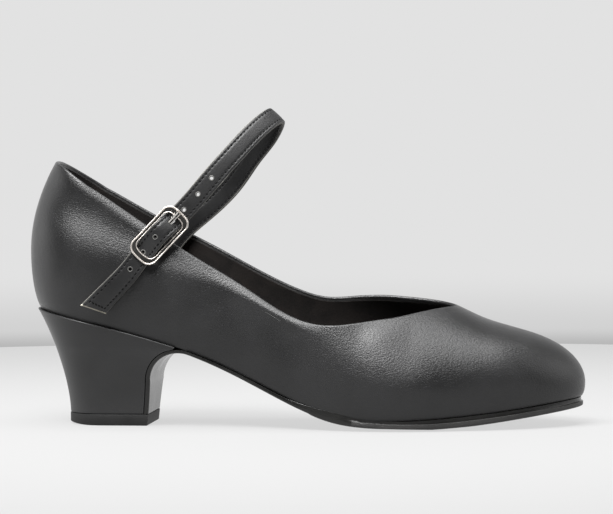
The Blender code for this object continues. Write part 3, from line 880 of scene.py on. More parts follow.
@dataclass(frozen=True)
class LeatherFinish(Finish):
    """Dyed leather with a pressed grain."""

    pitch: float
    crinkle: float
    depth: float
    scuff_reach: float = 0.0
    scuff_share: float = 0.8
    gloss: float = 0.5

    def material(self) -> Material:
        """The material, with rubbed marks near the floor where it has a reach for them."""
        material, nodes, shader, place = self.start()
        values = {"Place": place, "Pitch": self.pitch, "Crinkle": self.crinkle}
        grain = nodes.add("Group", values, node_tree=Effect.GRAIN.group)
        tone = grain.outputs["Tone"]
        if self.scuff_reach:
            values = {"Place": place, "Reach": self.scuff_reach}
            marks = nodes.add("Group", values, node_tree=Effect.SCUFFS.group)
            tone = nodes.sum(tone, marks.outputs["Mask"], self.scuff_share)
        self.shade(nodes, shader, tone, grain.outputs["Height"], self.depth)
        nodes.fill(shader, {"Specular IOR Level": self.gloss})
        return material


@dataclass(frozen=True)
class SuedeFinish(Finish):
    """A napped face: suede, felt or brushed fabric."""

    pitch: float
    depth: float
    sheen: float
    sheen_spread: float = 0.6
    gloss: float = 0.2

    def material(self) -> Material:
        """The material."""
        material, nodes, shader, place = self.start()
        nap = nodes.add("Group", {"Place": place, "Pitch": self.pitch}, node_tree=Effect.NAP.group)
        self.shade(nodes, shader, nap.outputs["Tone"], nap.outputs["Height"], self.depth)
        nodes.fill(shader, {"Sheen Weight": self.sheen, "Sheen Roughness": self.sheen_spread})
        nodes.fill(shader, {"Specular IOR Level": self.gloss})
        return material


@dataclass(frozen=True)
class MetalFinish(Finish):
    """Plated metal, polished and a little handled."""

    handled_pitch: float = 260.0
    brushed_pitch: float = 2400.0
    depth: float = 0.000001

    def material(self) -> Material:
        """The material."""
        material, nodes, shader, place = self.start()
        handled = nodes.noise(place, self.handled_pitch, detail=4.0, roughness=0.6)
        brushed = nodes.noise(place, self.brushed_pitch, detail=2.0)
        self.shade(nodes, shader, nodes.span(handled, 0.4, 0.68, 0.0, 1.0), brushed, self.depth)
        nodes.fill(shader, {"Metallic": 1.0})
        return material


@dataclass(frozen=True)
class ThreadFinish(Finish):
    """Waxed sewing thread with its twist."""

    twist: float
    depth: float = 0.00004
    gloss: float = 0.15

    def material(self) -> Material:
        """The material."""
        material, nodes, shader, place = self.start()
        values = {"Vector": place, "Scale": self.twist, "Distortion": 1.5, "Detail": 2.0}
        strands = nodes.add("TexWave", values, bands_direction="DIAGONAL").outputs["Fac"]
        self.shade(nodes, shader, strands, strands, self.depth)
        nodes.fill(shader, {"Specular IOR Level": self.gloss})
        return material


UPPER_LEATHER = LeatherFinish("upper_leather", (0.008, 0.008, 0.0082), (0.016, 0.016, 0.0165), 0.31, 0.40,
                              pitch=2100.0, crinkle=0.55, depth=0.000065, scuff_reach=0.03)
HEEL_LEATHER = LeatherFinish("heel_leather", (0.013, 0.013, 0.0133), (0.022, 0.022, 0.0225), 0.38, 0.48,
                             pitch=2300.0, crinkle=0.15, depth=0.00003, scuff_reach=0.04)
STRAP_LEATHER = LeatherFinish("strap_leather", (0.006, 0.006, 0.0062), (0.014, 0.014, 0.0144), 0.34, 0.46,
                              pitch=2000.0, crinkle=0.3, depth=0.00003)
FOLD_LEATHER = LeatherFinish("fold_leather", (0.007, 0.0067, 0.0065), (0.016, 0.0155, 0.015), 0.38, 0.52,
                             pitch=1800.0, crinkle=0.4, depth=0.00005)
WAIST_LEATHER = LeatherFinish("waist_leather", (0.018, 0.018, 0.018), (0.030, 0.030, 0.029), 0.15, 0.26,
                              pitch=900.0, crinkle=0.5, depth=0.00002, scuff_reach=0.05)
WELT_DRESSING = LeatherFinish("welt_dressing", (0.0035, 0.0034, 0.0032), (0.009, 0.0088, 0.0082), 0.22, 0.36,
                              pitch=1300.0, crinkle=0.6, depth=0.00003, scuff_reach=0.02)
EDGE_DRESSING = LeatherFinish("edge_dressing", (0.012, 0.012, 0.012), (0.034, 0.033, 0.032), 0.42, 0.60,
                              pitch=1300.0, crinkle=0.9, depth=0.00006, scuff_reach=0.03)
RAW_EDGE = LeatherFinish("raw_edge", (0.05, 0.048, 0.043), (0.18, 0.175, 0.16), 0.70, 0.85,
                         pitch=2600.0, crinkle=0.8, depth=0.00006)
CUT_END = LeatherFinish("cut_end", (0.30, 0.28, 0.22), (0.62, 0.58, 0.50), 0.75, 0.90,
                        pitch=2200.0, crinkle=0.8, depth=0.00006)
# Lighter than the strap's leather: a painted highlight on the pressed lips round the holes
HOLE_RIM_HIGHLIGHT = LeatherFinish("hole_rim", (0.060, 0.059, 0.056), (0.13, 0.128, 0.122), 0.40, 0.55,
                         pitch=2600.0, crinkle=0.4, depth=0.00003)
LIFT_RUBBER = LeatherFinish("lift_rubber", (0.006, 0.006, 0.006), (0.013, 0.013, 0.013), 0.50, 0.66,
                            pitch=1700.0, crinkle=0.1, depth=0.00004, scuff_reach=0.01, gloss=0.35)
LINING_SUEDE = SuedeFinish("lining_suede", (0.0056, 0.0043, 0.0038), (0.0160, 0.0124, 0.0108), 0.75, 0.9,
                           pitch=2200.0, depth=0.00008, sheen=0.06)
SOCK_SUEDE = SuedeFinish("sock_suede", (0.006, 0.0047, 0.0041), (0.017, 0.0135, 0.0116), 0.7, 0.85,
                         pitch=1900.0, depth=0.00008, sheen=0.1)
TREAD_SUEDE = SuedeFinish("tread_suede", (0.014, 0.0125, 0.0115), (0.050, 0.046, 0.042), 0.75, 0.95,
                          pitch=1500.0, depth=0.00022, sheen=0.3)
NICKEL = MetalFinish("nickel", (0.68, 0.655, 0.62), (0.75, 0.725, 0.685), 0.11, 0.18)
SATIN_NICKEL = MetalFinish("satin_nickel", (0.68, 0.635, 0.59), (0.76, 0.715, 0.67), 0.40, 0.48)
# Black thread, made near black and dull so that the stitches also carry the painted shade of their sunken
# holes
BLACK_THREAD_AND_SHADE = ThreadFinish("black_thread_and_shade", (0.002, 0.002, 0.002), (0.006, 0.006, 0.006), 0.75, 0.90,
                            twist=900.0)


@dataclass(frozen=True)
class Upper:
    """The leather upper with its turned collar, the fold inside it and the lining."""

    last: Last = LAST
    wall: float = 0.0018
    heel_steps: int = 26
    side_steps: int = 62
    throat_steps: int = 28
    vamp_steps: int = 8
    toe_steps: int = 30
    low_rows: int = 10
    high_rows: int = 28
    crowding: float = 1.4
    roll_rows: int = 9
    fold_depth: float = 0.0034
    fold_thickness: float = 0.0004
    # Way down from the collar, and rise in shares of the fold's thickness
    fold_outline: Pairs = (
        (-0.0002, -0.6), (0.0003, 0.30), (0.0010, 0.9), (0.0018, 1.0), (0.0028, 1.0),
        (0.0032, 0.7), (fold_depth, 0.1), (fold_depth, -0.8), (0.0014, -0.9),
    )
    lining_gap: float = 0.0001
    lining_thickness: float = 0.0004
    crease: float = 60.0

    @cached_property
    def stations(self) -> list[float]:
        """Every station, closer together round the heel, the throat and the toe."""
        last = self.last
        throat_start = last.throat - last.throat_cap
        turns = np.linspace(0, math.pi / 2, self.throat_steps, endpoint=False)
        return [
            *last.heel_stations(self.heel_steps),
            *np.linspace(last.heel_cap, throat_start, self.side_steps, endpoint=False),
            *(last.throat - last.throat_cap * (1 - math.sin(turn)) for turn in turns),
            *np.linspace(last.throat, last.length - last.toe_cap, self.vamp_steps, endpoint=False),
            *last.toe_stations(self.toe_steps),
        ]

    @cached_property
    def sections(self) -> list[Section]:
        """Cuts from the back of the heel along the outer side to the toe, and back along the inner side."""
        outer = [self.last.section(x, Side.OUTER) for x in self.stations]
        inner = [self.last.section(x, Side.INNER) for x in reversed(self.stations[:-1])]
        return outer + inner

    def face(self, top: Callable[[Section], float]) -> Array:
        """A grid of points over the outer face.

        Args:
            top: The rise where the grid ends, for a cut.

        Returns:
            Cuts by rows by 3.
        """
        columns = []
        for section in self.sections:
            below = np.linspace(0, 1, self.low_rows, endpoint=False)
            shares = 1 - (1 - np.linspace(0, 1, self.high_rows + 1)) ** self.crowding
            above = 1 + (top(section) - 1) * shares
            columns.append([section.point(rise) for rise in (*below, *above)])
        return np.array(columns)

    @cached_property
    def outer_face(self) -> Array:
        """The outer face up to where the collar starts to turn."""
        return self.face(lambda section: self.last.collar_rise(section, self.wall / 2))

    @cached_property
    def outer_normals(self) -> Array:
        """The way that the outer face looks."""
        return smooth_normals(self.outer_face)

    @cached_property
    def rim(self) -> list[int]:
        """The cuts that end at the collar, once round it, without the doubled ones at throat and heel."""
        reach = [k for k, section in enumerate(self.sections) if section.x <= self.last.throat]
        outer = [k for k in reach if self.sections[k].side is Side.OUTER]
        inner = [k for k in reach if self.sections[k].side is Side.INNER]
        return outer + inner[1:-1]

    @cached_property
    def rim_lift(self) -> Array:
        """For each cut, the way in the wall's own face that leads out over its collar."""
        tops = self.outer_face[self.rim, -1]
        along = np.roll(tops, -1, axis=0) - np.roll(tops, 1, axis=0)
        lift = np.cross(self.outer_normals[self.rim, -1], along)
        lift /= np.linalg.norm(lift, axis=1, keepdims=True)
        ways = np.zeros((len(self.sections), 3))
        ways[self.rim] = lift
        ways[-1] = ways[0]
        throat = self.stations.index(self.last.throat)
        ways[len(self.sections) - 1 - throat] = ways[throat]
        return ways

    def shell(self) -> Piece:
        """The leather itself: up the outer face, round the collar, down the inner face and closed below.

        Returns:
            The piece.
        """
        normals = self.outer_normals
        inner_face = self.outer_face - normals * self.wall
        top_normal = normals[:, -1]
        middle = self.outer_face[:, -1] - top_normal * self.wall / 2
        roll = []
        for turn in np.linspace(0, math.pi, self.roll_rows + 1)[1:-1]:
            way = top_normal * math.cos(turn) + self.rim_lift * math.sin(turn)
            roll.append(middle + self.wall / 2 * way)
        bands = [self.outer_face, np.stack(roll, axis=1), inner_face[:, ::-1], self.outer_face[:, :1]]
        points = np.concatenate(bands, axis=1)
        piece = grid_piece("upper_leather", points)
        vamp = np.array([section.x >= self.last.throat for section in self.sections])
        marked = np.zeros((points.shape[0] - 1, points.shape[1] - 1), bool)
        start = self.outer_face.shape[1] - 1
        marked[:, start : start + self.roll_rows] = (vamp[:-1] & vamp[1:])[:, None]
        drop_faces(piece, marked)
        return weld(piece)

    def fold(self) -> Piece:
        """The turned edge of the leather, stuck down inside the collar.

        Returns:
            The piece.
        """
        tops = self.outer_face[self.rim, -1]
        normals = self.outer_normals[self.rim, -1]
        lift = self.rim_lift[self.rim]
        rings = []
        for down, rise in self.fold_outline:
            rings.append(tops - normals * (self.wall + rise * self.fold_thickness) - lift * down)
        return tube_piece("collar_fold", np.stack(rings, axis=1), looped=True)

    def lining(self) -> Piece:
        """The thin lining on the inner face, up to under the fold.

        Returns:
            The piece.
        """
        points = self.face(lambda section: self.last.collar_rise(section, self.fold_depth / 2))
        normals = smooth_normals(points)
        piece = weld(grid_piece("lining", points - normals * (self.wall + self.lining_gap)))
        apply(piece, "SOLIDIFY", thickness=self.lining_thickness, offset=-1)
        return piece

    def build(self) -> None:
        """Makes and dresses every piece of the upper."""
        dress(self.shell(), UPPER_LEATHER.material(), ["upper"], self.crease)
        dress(self.fold(), FOLD_LEATHER.material(), degrees=self.crease)
        dress(self.lining(), LINING_SUEDE.material(), degrees=self.crease)


@dataclass(frozen=True)
class Sock:
    """The sock that lies on the insole board and closes the inside."""

    last: Last = LAST
    inset: float = 0.0024
    thickness: float = 0.0018
    dish: float = 0.0008
    edge: float = 0.0006
    edge_power: int = 8
    steps: int = 70
    end_steps: int = 17
    across: int = 16

    def ring(self, x: float) -> list[Point]:
        """A ring round the sock at a station.

        Args:
            x: The station.

        Returns:
            Its points.
        """
        outer = self.last.edge(x, Side.OUTER, self.inset)
        inner = self.last.edge(x, Side.INNER, self.inset)
        low = (self.last.feather(x, Side.OUTER), self.last.feather(x, Side.INNER))
        points = []
        for share in np.linspace(0, 1, self.across + 1):
            middle = 4 * share * (1 - share)
            height = low[0] + (low[1] - low[0]) * share + self.thickness - self.dish * middle
            height -= self.edge * (2 * share - 1) ** self.edge_power
            points.append((outer[0], outer[1] + (inner[1] - outer[1]) * share, height))
        for share in (1.0, 0.5, 0.0):
            height = low[0] + (low[1] - low[0]) * share
            points.append((outer[0], outer[1] + (inner[1] - outer[1]) * share, height))
        return points

    def build(self) -> None:
        """Makes and dresses the sock."""
        last = self.last
        stations = [
            *last.heel_stations(self.end_steps),
            *np.linspace(last.heel_cap, last.length - last.toe_cap, self.steps, endpoint=False),
            *last.toe_stations(self.end_steps),
        ]
        piece = tube_piece("sock", np.array([self.ring(x) for x in stations]))
        dress(piece, SOCK_SUEDE.material(), ["insole"])


class Rib(NamedTuple):
    """An upright line of the heel: station on the seat, share of the way forward, width of its base."""

    station: float
    share: float
    width: float


@dataclass(frozen=True)
class Heel:
    """The covered block heel with the wear piece under it. The flap of the sole covers its front."""

    last: Last = LAST
    gap: float = 0.0003
    waist_thickness: float = 0.0020
    breast: float = 0.0563
    breast_round: float = 0.0130
    breast_slant: float = 0.0020
    breast_top: float = math.radians(86)
    back: float = 0.0174
    base_half: float = 0.0170
    base_round: float = 0.46
    flare: float = 1.65
    side_flare: float = 1.5
    lift_thickness: float = 0.0050
    lift_step: float = 0.0001
    lift_edge: float = 0.0003
    lift_wear: float = 0.0011
    lift_wear_fade: float = 3.0
    levels: int = 30
    foot_level: float = 0.012
    seat_steps: int = 4
    back_steps: int = 24
    side_steps: int = 18
    front_steps: int = 8
    seat_round: float = 0.0003

    @property
    def reach(self) -> float:
        """Radius of the breast's curve on the sole's top face."""
        return self.breast_round + self.waist_thickness

    @property
    def middle_x(self) -> float:
        """Where the middle of the breast's curve lies along the shoe."""
        return self.breast + self.breast_round

    @cached_property
    def fall(self) -> float:
        """Slope of the waist where the sole leaves it."""
        run = self.reach / 3
        here = self.last.feather(self.middle_x, Side.OUTER)
        return math.atan((here - self.last.feather(self.middle_x + run, Side.OUTER)) / run)

    @cached_property
    def leave(self) -> float:
        """Station where the sole leaves the waist and turns down."""
        return self.middle_x + self.reach * math.sin(self.fall)

    @cached_property
    def middle_z(self) -> float:
        """Height of the middle of the breast's curve."""
        return self.last.feather(self.leave, Side.OUTER) - self.gap - self.reach * math.cos(self.fall)

    @property
    def base(self) -> float:
        """Height of the block's underside."""
        return self.lift_thickness + self.gap

    def curve(self, turn: float, depth: float) -> tuple[float, float]:
        """Side view of the breast: turn is 0 where it stands upright, depth is 0 on the sole's top face."""
        radius = self.reach - depth
        return self.middle_x - radius * math.cos(turn), self.middle_z + radius * math.sin(turn)

    def front(self, height: float) -> float:
        """The block's front, behind the flap.

        Args:
            height: Height above the floor.

        Returns:
            Its place along the shoe.
        """
        radius = self.reach + self.gap
        turn = math.asin(min(max((height - self.middle_z) / radius, 0.0), math.sin(self.breast_top)))
        return self.middle_x - radius * math.cos(turn) - self.slant(height)

    def slant(self, height: float) -> float:
        """How far the breast leans back below its curve."""
        return self.breast_slant * max(0.0, 1 - height / self.middle_z)

    @cached_property
    def front_top(self) -> float:
        """Where the block's front meets the seat."""
        return self.front(self.last.heel_height)

    def seat_edge(self, station: float, side: Side) -> tuple[float, float]:
        """Plan position of the block's edge at the seat."""
        return self.last.edge(station, side, -self.last.curves["welt"](station))

    @cached_property
    def back_top(self) -> float:
        """Where the block's back meets the seat."""
        return self.seat_edge(0.0, Side.OUTER)[0]

    @cached_property
    def ribs(self) -> list[Rib]:
        """The block's upright lines, from its back to its front."""
        stations = [
            *self.last.heel_stations(self.back_steps),
            *np.linspace(self.last.heel_cap, self.front_top, self.side_steps),
        ]
        made = []
        for station in stations:
            along = self.seat_edge(station, Side.OUTER)[0]
            share = (along - self.back_top) / (self.front_top - self.back_top)
            left = max(0.0, 1 - share / self.base_round)
            made.append(Rib(station, share, math.sqrt(1 - left**2)))
        return made

    def half_width(self, rib: Rib, side: Side, level: float) -> float:
        """Distance of the block's side from the axis.

        Args:
            rib: The upright line.
            side: Side of the foot.
            level: 0 at the base and 1 at the seat.

        Returns:
            The distance.
        """
        base = self.base_half * rib.width
        seat = abs(self.seat_edge(rib.station, side)[1])
        return base + (seat - base) * level**self.side_flare

    def point(self, rib: Rib, side: Side, level: float, inset: float, drop: float) -> Point:
        """A point on the block's side.

        Args:
            rib: The upright line.
            side: Side of the foot.
            level: 0 at the base and 1 at the seat.
            inset: How far the face is drawn in.
            drop: How far the point is lowered.

        Returns:
            The point.
        """
        seat = self.last.feather(rib.station, Side.OUTER) - self.gap
        height = self.base + (seat - self.base) * level
        back = self.back + (self.back_top - self.back) * level**self.flare + inset
        along = back + (self.front(height) - back) * rib.share
        out = max(0.0, self.half_width(rib, side, level) - inset * rib.width)
        return along, side.value * out, height - drop

    def ring(self, point: Callable[[Rib, Side], Point]) -> list[Point]:
        """A ring from the outer front corner round the back to the inner one, closed along the front.

        Args:
            point: Gives the place for a rib and a side.

        Returns:
            Its points.
        """
        points = [point(rib, Side.OUTER) for rib in reversed(self.ribs)]
        points += [point(rib, Side.INNER) for rib in self.ribs[1:]]
        first = np.array(points[0])
        last = np.array(points[-1])
        shares = np.linspace(0, 1, self.front_steps + 2)[1:-1]
        return points + [tuple(last + (first - last) * share) for share in shares]

    def block(self) -> Piece:
        """The covered block, its leather rounded over at the seat.

        Returns:
            The piece.
        """
        rows = [(level, 0.0, 0.0) for level in np.linspace(0, 1, self.levels + 1)[:-1]]
        rows[0] = (0.0, self.seat_round / 2, 0.0)
        rows.insert(1, (self.foot_level, 0.0, 0.0))
        for turn in np.linspace(0, math.pi / 2, self.seat_steps + 1):
            inset = self.seat_round * (1 - math.cos(turn))
            rows.append((1.0, inset, self.seat_round * (1 - math.sin(turn))))
        rings = []
        for level, inset, drop in rows:
            rings.append(self.ring(lambda rib, side: self.point(rib, side, level, inset, drop)))
        return tube_piece("heel_block", np.array(rings))

    def lift(self) -> Piece:
        """The wear piece, a little proud of the block and of the flap.

        Returns:
            The piece.
        """
        edge = self.lift_edge
        soft = 0.3 * edge
        top = self.lift_thickness
        rows = (
            (0.0, 3 * edge), (0.0, edge), (soft, soft), (edge, 0.0), (top / 2, 0.0),
            (top - edge, 0.0), (top - soft, soft), (top, edge), (top, 3 * edge),
        )
        rings = []
        for height, inset in rows:
            rings.append(self.ring(lambda rib, side: self.lift_point(rib, side, height, inset)))
        return tube_piece("top_lift", np.array(rings))

    def lift_point(self, rib: Rib, side: Side, height: float, inset: float) -> Point:
        """A point round the wear piece, which is worn at its back.

        Args:
            rib: The upright line.
            side: Side of the foot.
            height: Height above the floor.
            inset: How far the edge is drawn in.

        Returns:
            The point.
        """
        back = self.back - self.lift_step
        along = back + inset + rib.share * (self.breast - self.slant(height) - back - 2 * inset)
        fade = max(0.0, 1 - self.lift_wear_fade * rib.share) ** 2
        worn = self.lift_wear * fade * (1 - height / self.lift_thickness)
        return along, side.value * rib.width * (self.base_half + self.lift_step - inset), height + worn

    def build(self) -> None:
        """Makes and dresses the heel's pieces."""
        dress(self.block(), HEEL_LEATHER.material(), ["heel"])
        dress(self.lift(), LIFT_RUBBER.material(), ["heel_top_lift"])


HEEL = Heel()


@dataclass(frozen=True)
class Outsole:
    """The sole: a napped forefoot with its step, a smooth thin waist, and the flap down the heel's front."""

    last: Last = LAST
    heel: Heel = HEEL
    step: float = 0.1285
    step_run: float = 0.0006
    flat_start: float = 0.167
    flat_end: float = 0.182
    ball_rise: float = 0.0062
    ball_power: float = 2.9
    toe_spring: float = 0.0081
    toe_power: float = 1.12
    waist_back: float = 0.0014
    waist_front: float = 0.0022
    # Station and height
    sag: Pairs = ((0.1285, 0.0008), (0.150, 0.0012), (0.163, 0.0012), (0.182, 0.0008), (0.200, 0.0001))
    sag_power: int = 4
    # Station and height
    welt_rise: Pairs = (
        (0.118, 0.0), (0.130, 0.0013), (0.140, 0.0021), (0.148, 0.0019), (0.158, 0.0009), (0.170, 0.0),
    )
    # Share of the sole's depth, and inset in shares of edge
    plain_edge: Pairs = (
        (0.0, 2.5), (0.0, 0.3), (0.01, 0.1), (0.04, 0.0), (0.25, 0.0), (0.35, -0.05), (0.50, -0.15),
        (0.65, -0.1), (0.75, -0.05), (0.86, 0.0), (0.95, 0.35), (1.0, 1.0), (1.0, 2.0),
    )
    stepped_edge: Pairs = (
        (0.0, 3.6), (0.0, 1.7), (0.03, 1.4), (0.15, 1.3), (0.34, 1.3), (0.41, 1.1), (0.43, 0.30),
        (0.46, 0.0), (0.70, -0.1), (0.88, 0.05), (0.95, 0.45), (1.0, 1.2), (1.0, 2.5),
    )
    layer_start: float = 0.142
    layer_blend: float = 0.012
    layer: float = 0.42
    edge: float = 0.0006
    toe_steps: int = 26
    forefoot_steps: int = 44
    waist_steps: int = 34
    breast_steps: int = 22
    flap_steps: int = 10
    across: int = 18
    top_steps: int = 4
    tread_tilt: float = 0.75
    side_tilt: float = 0.6
    down_tilt: float = 0.3
    front_tilt: float = 0.5

    def tread(self, x: float, side: Side) -> float:
        """Height of the sole's underside, in front of the heel.

        Args:
            x: Station along the shoe.
            side: Side of the foot.

        Returns:
            The height.
        """
        if x < self.step:
            thickness = np.interp(x, (self.heel.leave, self.step), (self.waist_back, self.waist_front))
            return self.last.feather(x, side) - self.heel.gap - thickness
        if x < self.flat_start:
            share = (self.flat_start - x) / (self.flat_start - self.step)
            return self.ball_rise * share**self.ball_power
        share = max(0.0, (x - self.flat_end) / (self.last.length - self.flat_end))
        return self.toe_spring * share**self.toe_power

    def profile(self, layered: float = 0.0) -> list[tuple[float, float]]:
        """The sole's edge from its top face to its underside, as share of the depth and inset.

        Args:
            layered: How far the edge's upper layer stands back from the lower one, from 0 to 1.

        Returns:
            The same number of points for every edge.
        """
        plain = np.array(self.plain_edge)
        shape = plain + (np.array(self.stepped_edge) - plain) * held(layered)
        return [(share, inset * self.edge) for share, inset in shape.tolist()]

    def close(self, outer: list[Point], inner: list[Point], sag: float) -> list[Point]:
        """A ring from the edges of both sides.

        Args:
            outer: Points down the outer edge.
            inner: Points down the inner edge.
            sag: How far the underside's middle lies below its edges.

        Returns:
            The ring: down the outer edge, along the underside, up the inner edge and along the top.
        """
        ends = np.array((outer[-1], inner[-1], inner[0], outer[0]))
        shares = np.linspace(0, 1, self.across + 1)[1:-1, None]
        under = ends[0] + (ends[1] - ends[0]) * shares
        under[:, 2] -= sag * (1 - (2 * shares[:, 0] - 1) ** self.sag_power)
        above = ends[2] + (ends[3] - ends[2]) * np.linspace(0, 1, self.top_steps + 1)[1:-1, None]
        return [*outer, *under.tolist(), *inner[::-1], *above.tolist()]

    def sole_ring(self, x: float) -> list[Point]:
        """A ring of the sole in front of the heel.

        Args:
            x: Station along the shoe.

        Returns:
            Its points.
        """
        sag = self.sag_at(x)
        welt = -self.last.curves["welt"](x)
        sides = []
        for side in Side:
            top = self.top(x, side)
            low = self.tread(x, side) + sag
            points = []
            for share, inset in self.profile((x - self.layer_start) / self.layer_blend):
                points.append((*self.last.edge(x, side, welt + inset), top + (low - top) * share))
            sides.append(points)
        return self.close(*sides, sag)

    def sag_at(self, x: float) -> float:
        """How far the underside's middle lies below its edges: most where the ball of the foot rests."""
        return float(np.interp(x, *zip(*self.sag))) if x > self.step else 0.0

    def top(self, x: float, side: Side) -> float:
        """Height of the sole's top edge at x: it climbs the upper a little behind the ball."""
        return self.last.feather(x, side) - self.heel.gap + float(np.interp(x, *zip(*self.welt_rise)))

    def flap_ring(self, turn: float, drop: float) -> list[Point]:
        """A ring of the flap, round the breast's curve or straight down below it.

        Args:
            turn: Where it lies on the curve, 0 at its foot.
            drop: How far it lies below that.

        Returns:
            Its points.
        """
        heel = self.heel
        whole_turn = math.pi / 2 + heel.fall
        thickness = np.interp(turn, (0.0, whole_turn), (heel.waist_thickness, self.waist_back))
        height = heel.curve(turn, 0.0)[1] - drop
        level = (height - heel.base) / (self.last.feather(heel.front_top, Side.OUTER) - heel.gap - heel.base)
        sides = []
        for side in Side:
            out = heel.half_width(heel.ribs[-1], side, held(level))
            points = []
            for share, inset in self.profile():
                x, z = heel.curve(turn, share * thickness)
                points.append((x - heel.slant(z - drop), side.value * (out - inset), z - drop))
            sides.append(points)
        return self.close(*sides, 0.0)

    def rings(self) -> Array:
        """Every ring from the tip of the toe to the foot of the flap."""
        heel = self.heel
        start = self.last.length - self.last.toe_cap
        forefoot = np.linspace(start, self.step + self.step_run, self.forefoot_steps)[1:]
        waist = np.linspace(self.step - self.step_run, heel.leave, self.waist_steps)
        rings = [self.sole_ring(x) for x in reversed(self.last.toe_stations(self.toe_steps))]
        rings += [self.sole_ring(x) for x in (*forefoot, *waist)]
        turns = np.linspace(math.pi / 2 + heel.fall, 0, self.breast_steps + 1)[1:]
        rings += [self.flap_ring(turn, 0.0) for turn in turns]
        drops = np.linspace(0, heel.middle_z - heel.base, self.flap_steps + 1)[1:]
        rings += [self.flap_ring(0.0, drop) for drop in drops]
        return np.array(rings)

    def build(self) -> None:
        """Makes and dresses the sole."""
        piece = tube_piece("outsole_leather", self.rings())
        dress(piece, WELT_DRESSING.material(), ["outsole"])
        paint_faces(piece, EDGE_DRESSING.material(), self.is_lower_layer)
        paint_faces(piece, TREAD_SUEDE.material(), self.is_tread)
        paint_faces(piece, WAIST_LEATHER.material(), self.is_waist)

    def is_lower_layer(self, face: Face) -> bool:
        """Whether a face lies on the lower layer of the forefoot's edge.

        Args:
            face: A face of the sole.

        Returns:
            True if it does.
        """
        x = face.center.x - self.last.shift[0]
        side = Side.OUTER if face.center.y < self.last.shift[1] else Side.INNER
        top = self.top(x, side)
        low = self.tread(x, side) + self.sag_at(x)
        return x > self.layer_start + self.layer_blend / 2 and face.center.z < top + (low - top) * self.layer

    def is_tread(self, face: Face) -> bool:
        """Whether a face is on the underside of the forefoot."""
        return face.center.x > self.step + self.last.shift[0] and face.normal.z < -self.tread_tilt

    def is_waist(self, face: Face) -> bool:
        """Whether a face behind the step looks down or forward, on the waist or the flap."""
        if face.center.x > self.step + self.last.shift[0] or abs(face.normal.y) >= self.side_tilt:
            return False
        return face.normal.z < -self.down_tilt or face.normal.x > self.front_tilt


class Pass(NamedTuple):
    """A point of the strap's middle line in the buckle: along the strap, out from the ankle and across."""

    along: float
    out: float
    across: float


# The strap's middle line in the last's frame, up to the buckle and after it
STRAP_SIDE = (
    (0.0332, -0.0332, 0.0524),
    (0.0412, -0.0328, 0.0606),
    (0.0490, -0.0324, 0.0690),
)
STRAP_PASS = tuple(Pass(*row) for row in (
    (-0.0125, -0.00190, 0.0001),
    (-0.0092, -0.00175, -0.0002),
    (-0.0045, 0.00060, -0.0005),
    (0.0000, 0.00175, -0.0006),
    (0.0042, 0.00125, -0.0004),
    (0.0092, -0.00178, -0.0002),
    (0.0125, -0.00195, 0.0),
))
STRAP_ARCH = (
    (0.0847, -0.0252, 0.1095),
    (0.0941, -0.0218, 0.1203),
    (0.1013, -0.0168, 0.1285),
    (0.1074, -0.0095, 0.1347),
    (0.1106, 0.0000, 0.1367),
    (0.1066, 0.0095, 0.1292),
    (0.0978, 0.0168, 0.1188),
    (0.0902, 0.0206, 0.1086),
    (0.0826, 0.0222, 0.1003),
    (0.0746, 0.0227, 0.0933),
    (0.0655, 0.0233, 0.0855),
    (0.0585, 0.0247, 0.0773),
    (0.0530, 0.0260, 0.0700),
)


@dataclass(frozen=True)
class BandPath:
    """A path with the ways along it, across it and out of its face at each of its points."""

    points: Array
    faces: Array

    @cached_property
    def lengths(self) -> Array:
        """Length of the path up to each point."""
        steps = np.linalg.norm(np.diff(self.points, axis=0), axis=1)
        return np.concatenate([[0.0], np.cumsum(steps)])

    @cached_property
    def ways(self) -> tuple[Array, Array, Array]:
        """Unit ways along, across and out at each point."""
        along = np.gradient(self.points, axis=0)
        along /= np.linalg.norm(along, axis=1, keepdims=True)
        across = np.cross(along, self.faces)
        across /= np.linalg.norm(across, axis=1, keepdims=True)
        return along, across, np.cross(across, along)

    def at(self, length: float) -> tuple[Array, Array, Array, Array]:
        """The point at a length and the ways there.

        Args:
            length: Length along the path.

        Returns:
            The point, then the ways along, across and out.
        """
        found = []
        for values in (self.points, *self.ways):
            found.append(np.array([np.interp(length, self.lengths, values[:, axis]) for axis in range(3)]))
        return tuple(found)

    def place(self, length: float, across: float, out: float) -> Array:
        """A point given along the path, across it and out of it."""
        point, _, way_across, way_out = self.at(length)
        return point + way_across * across + way_out * out


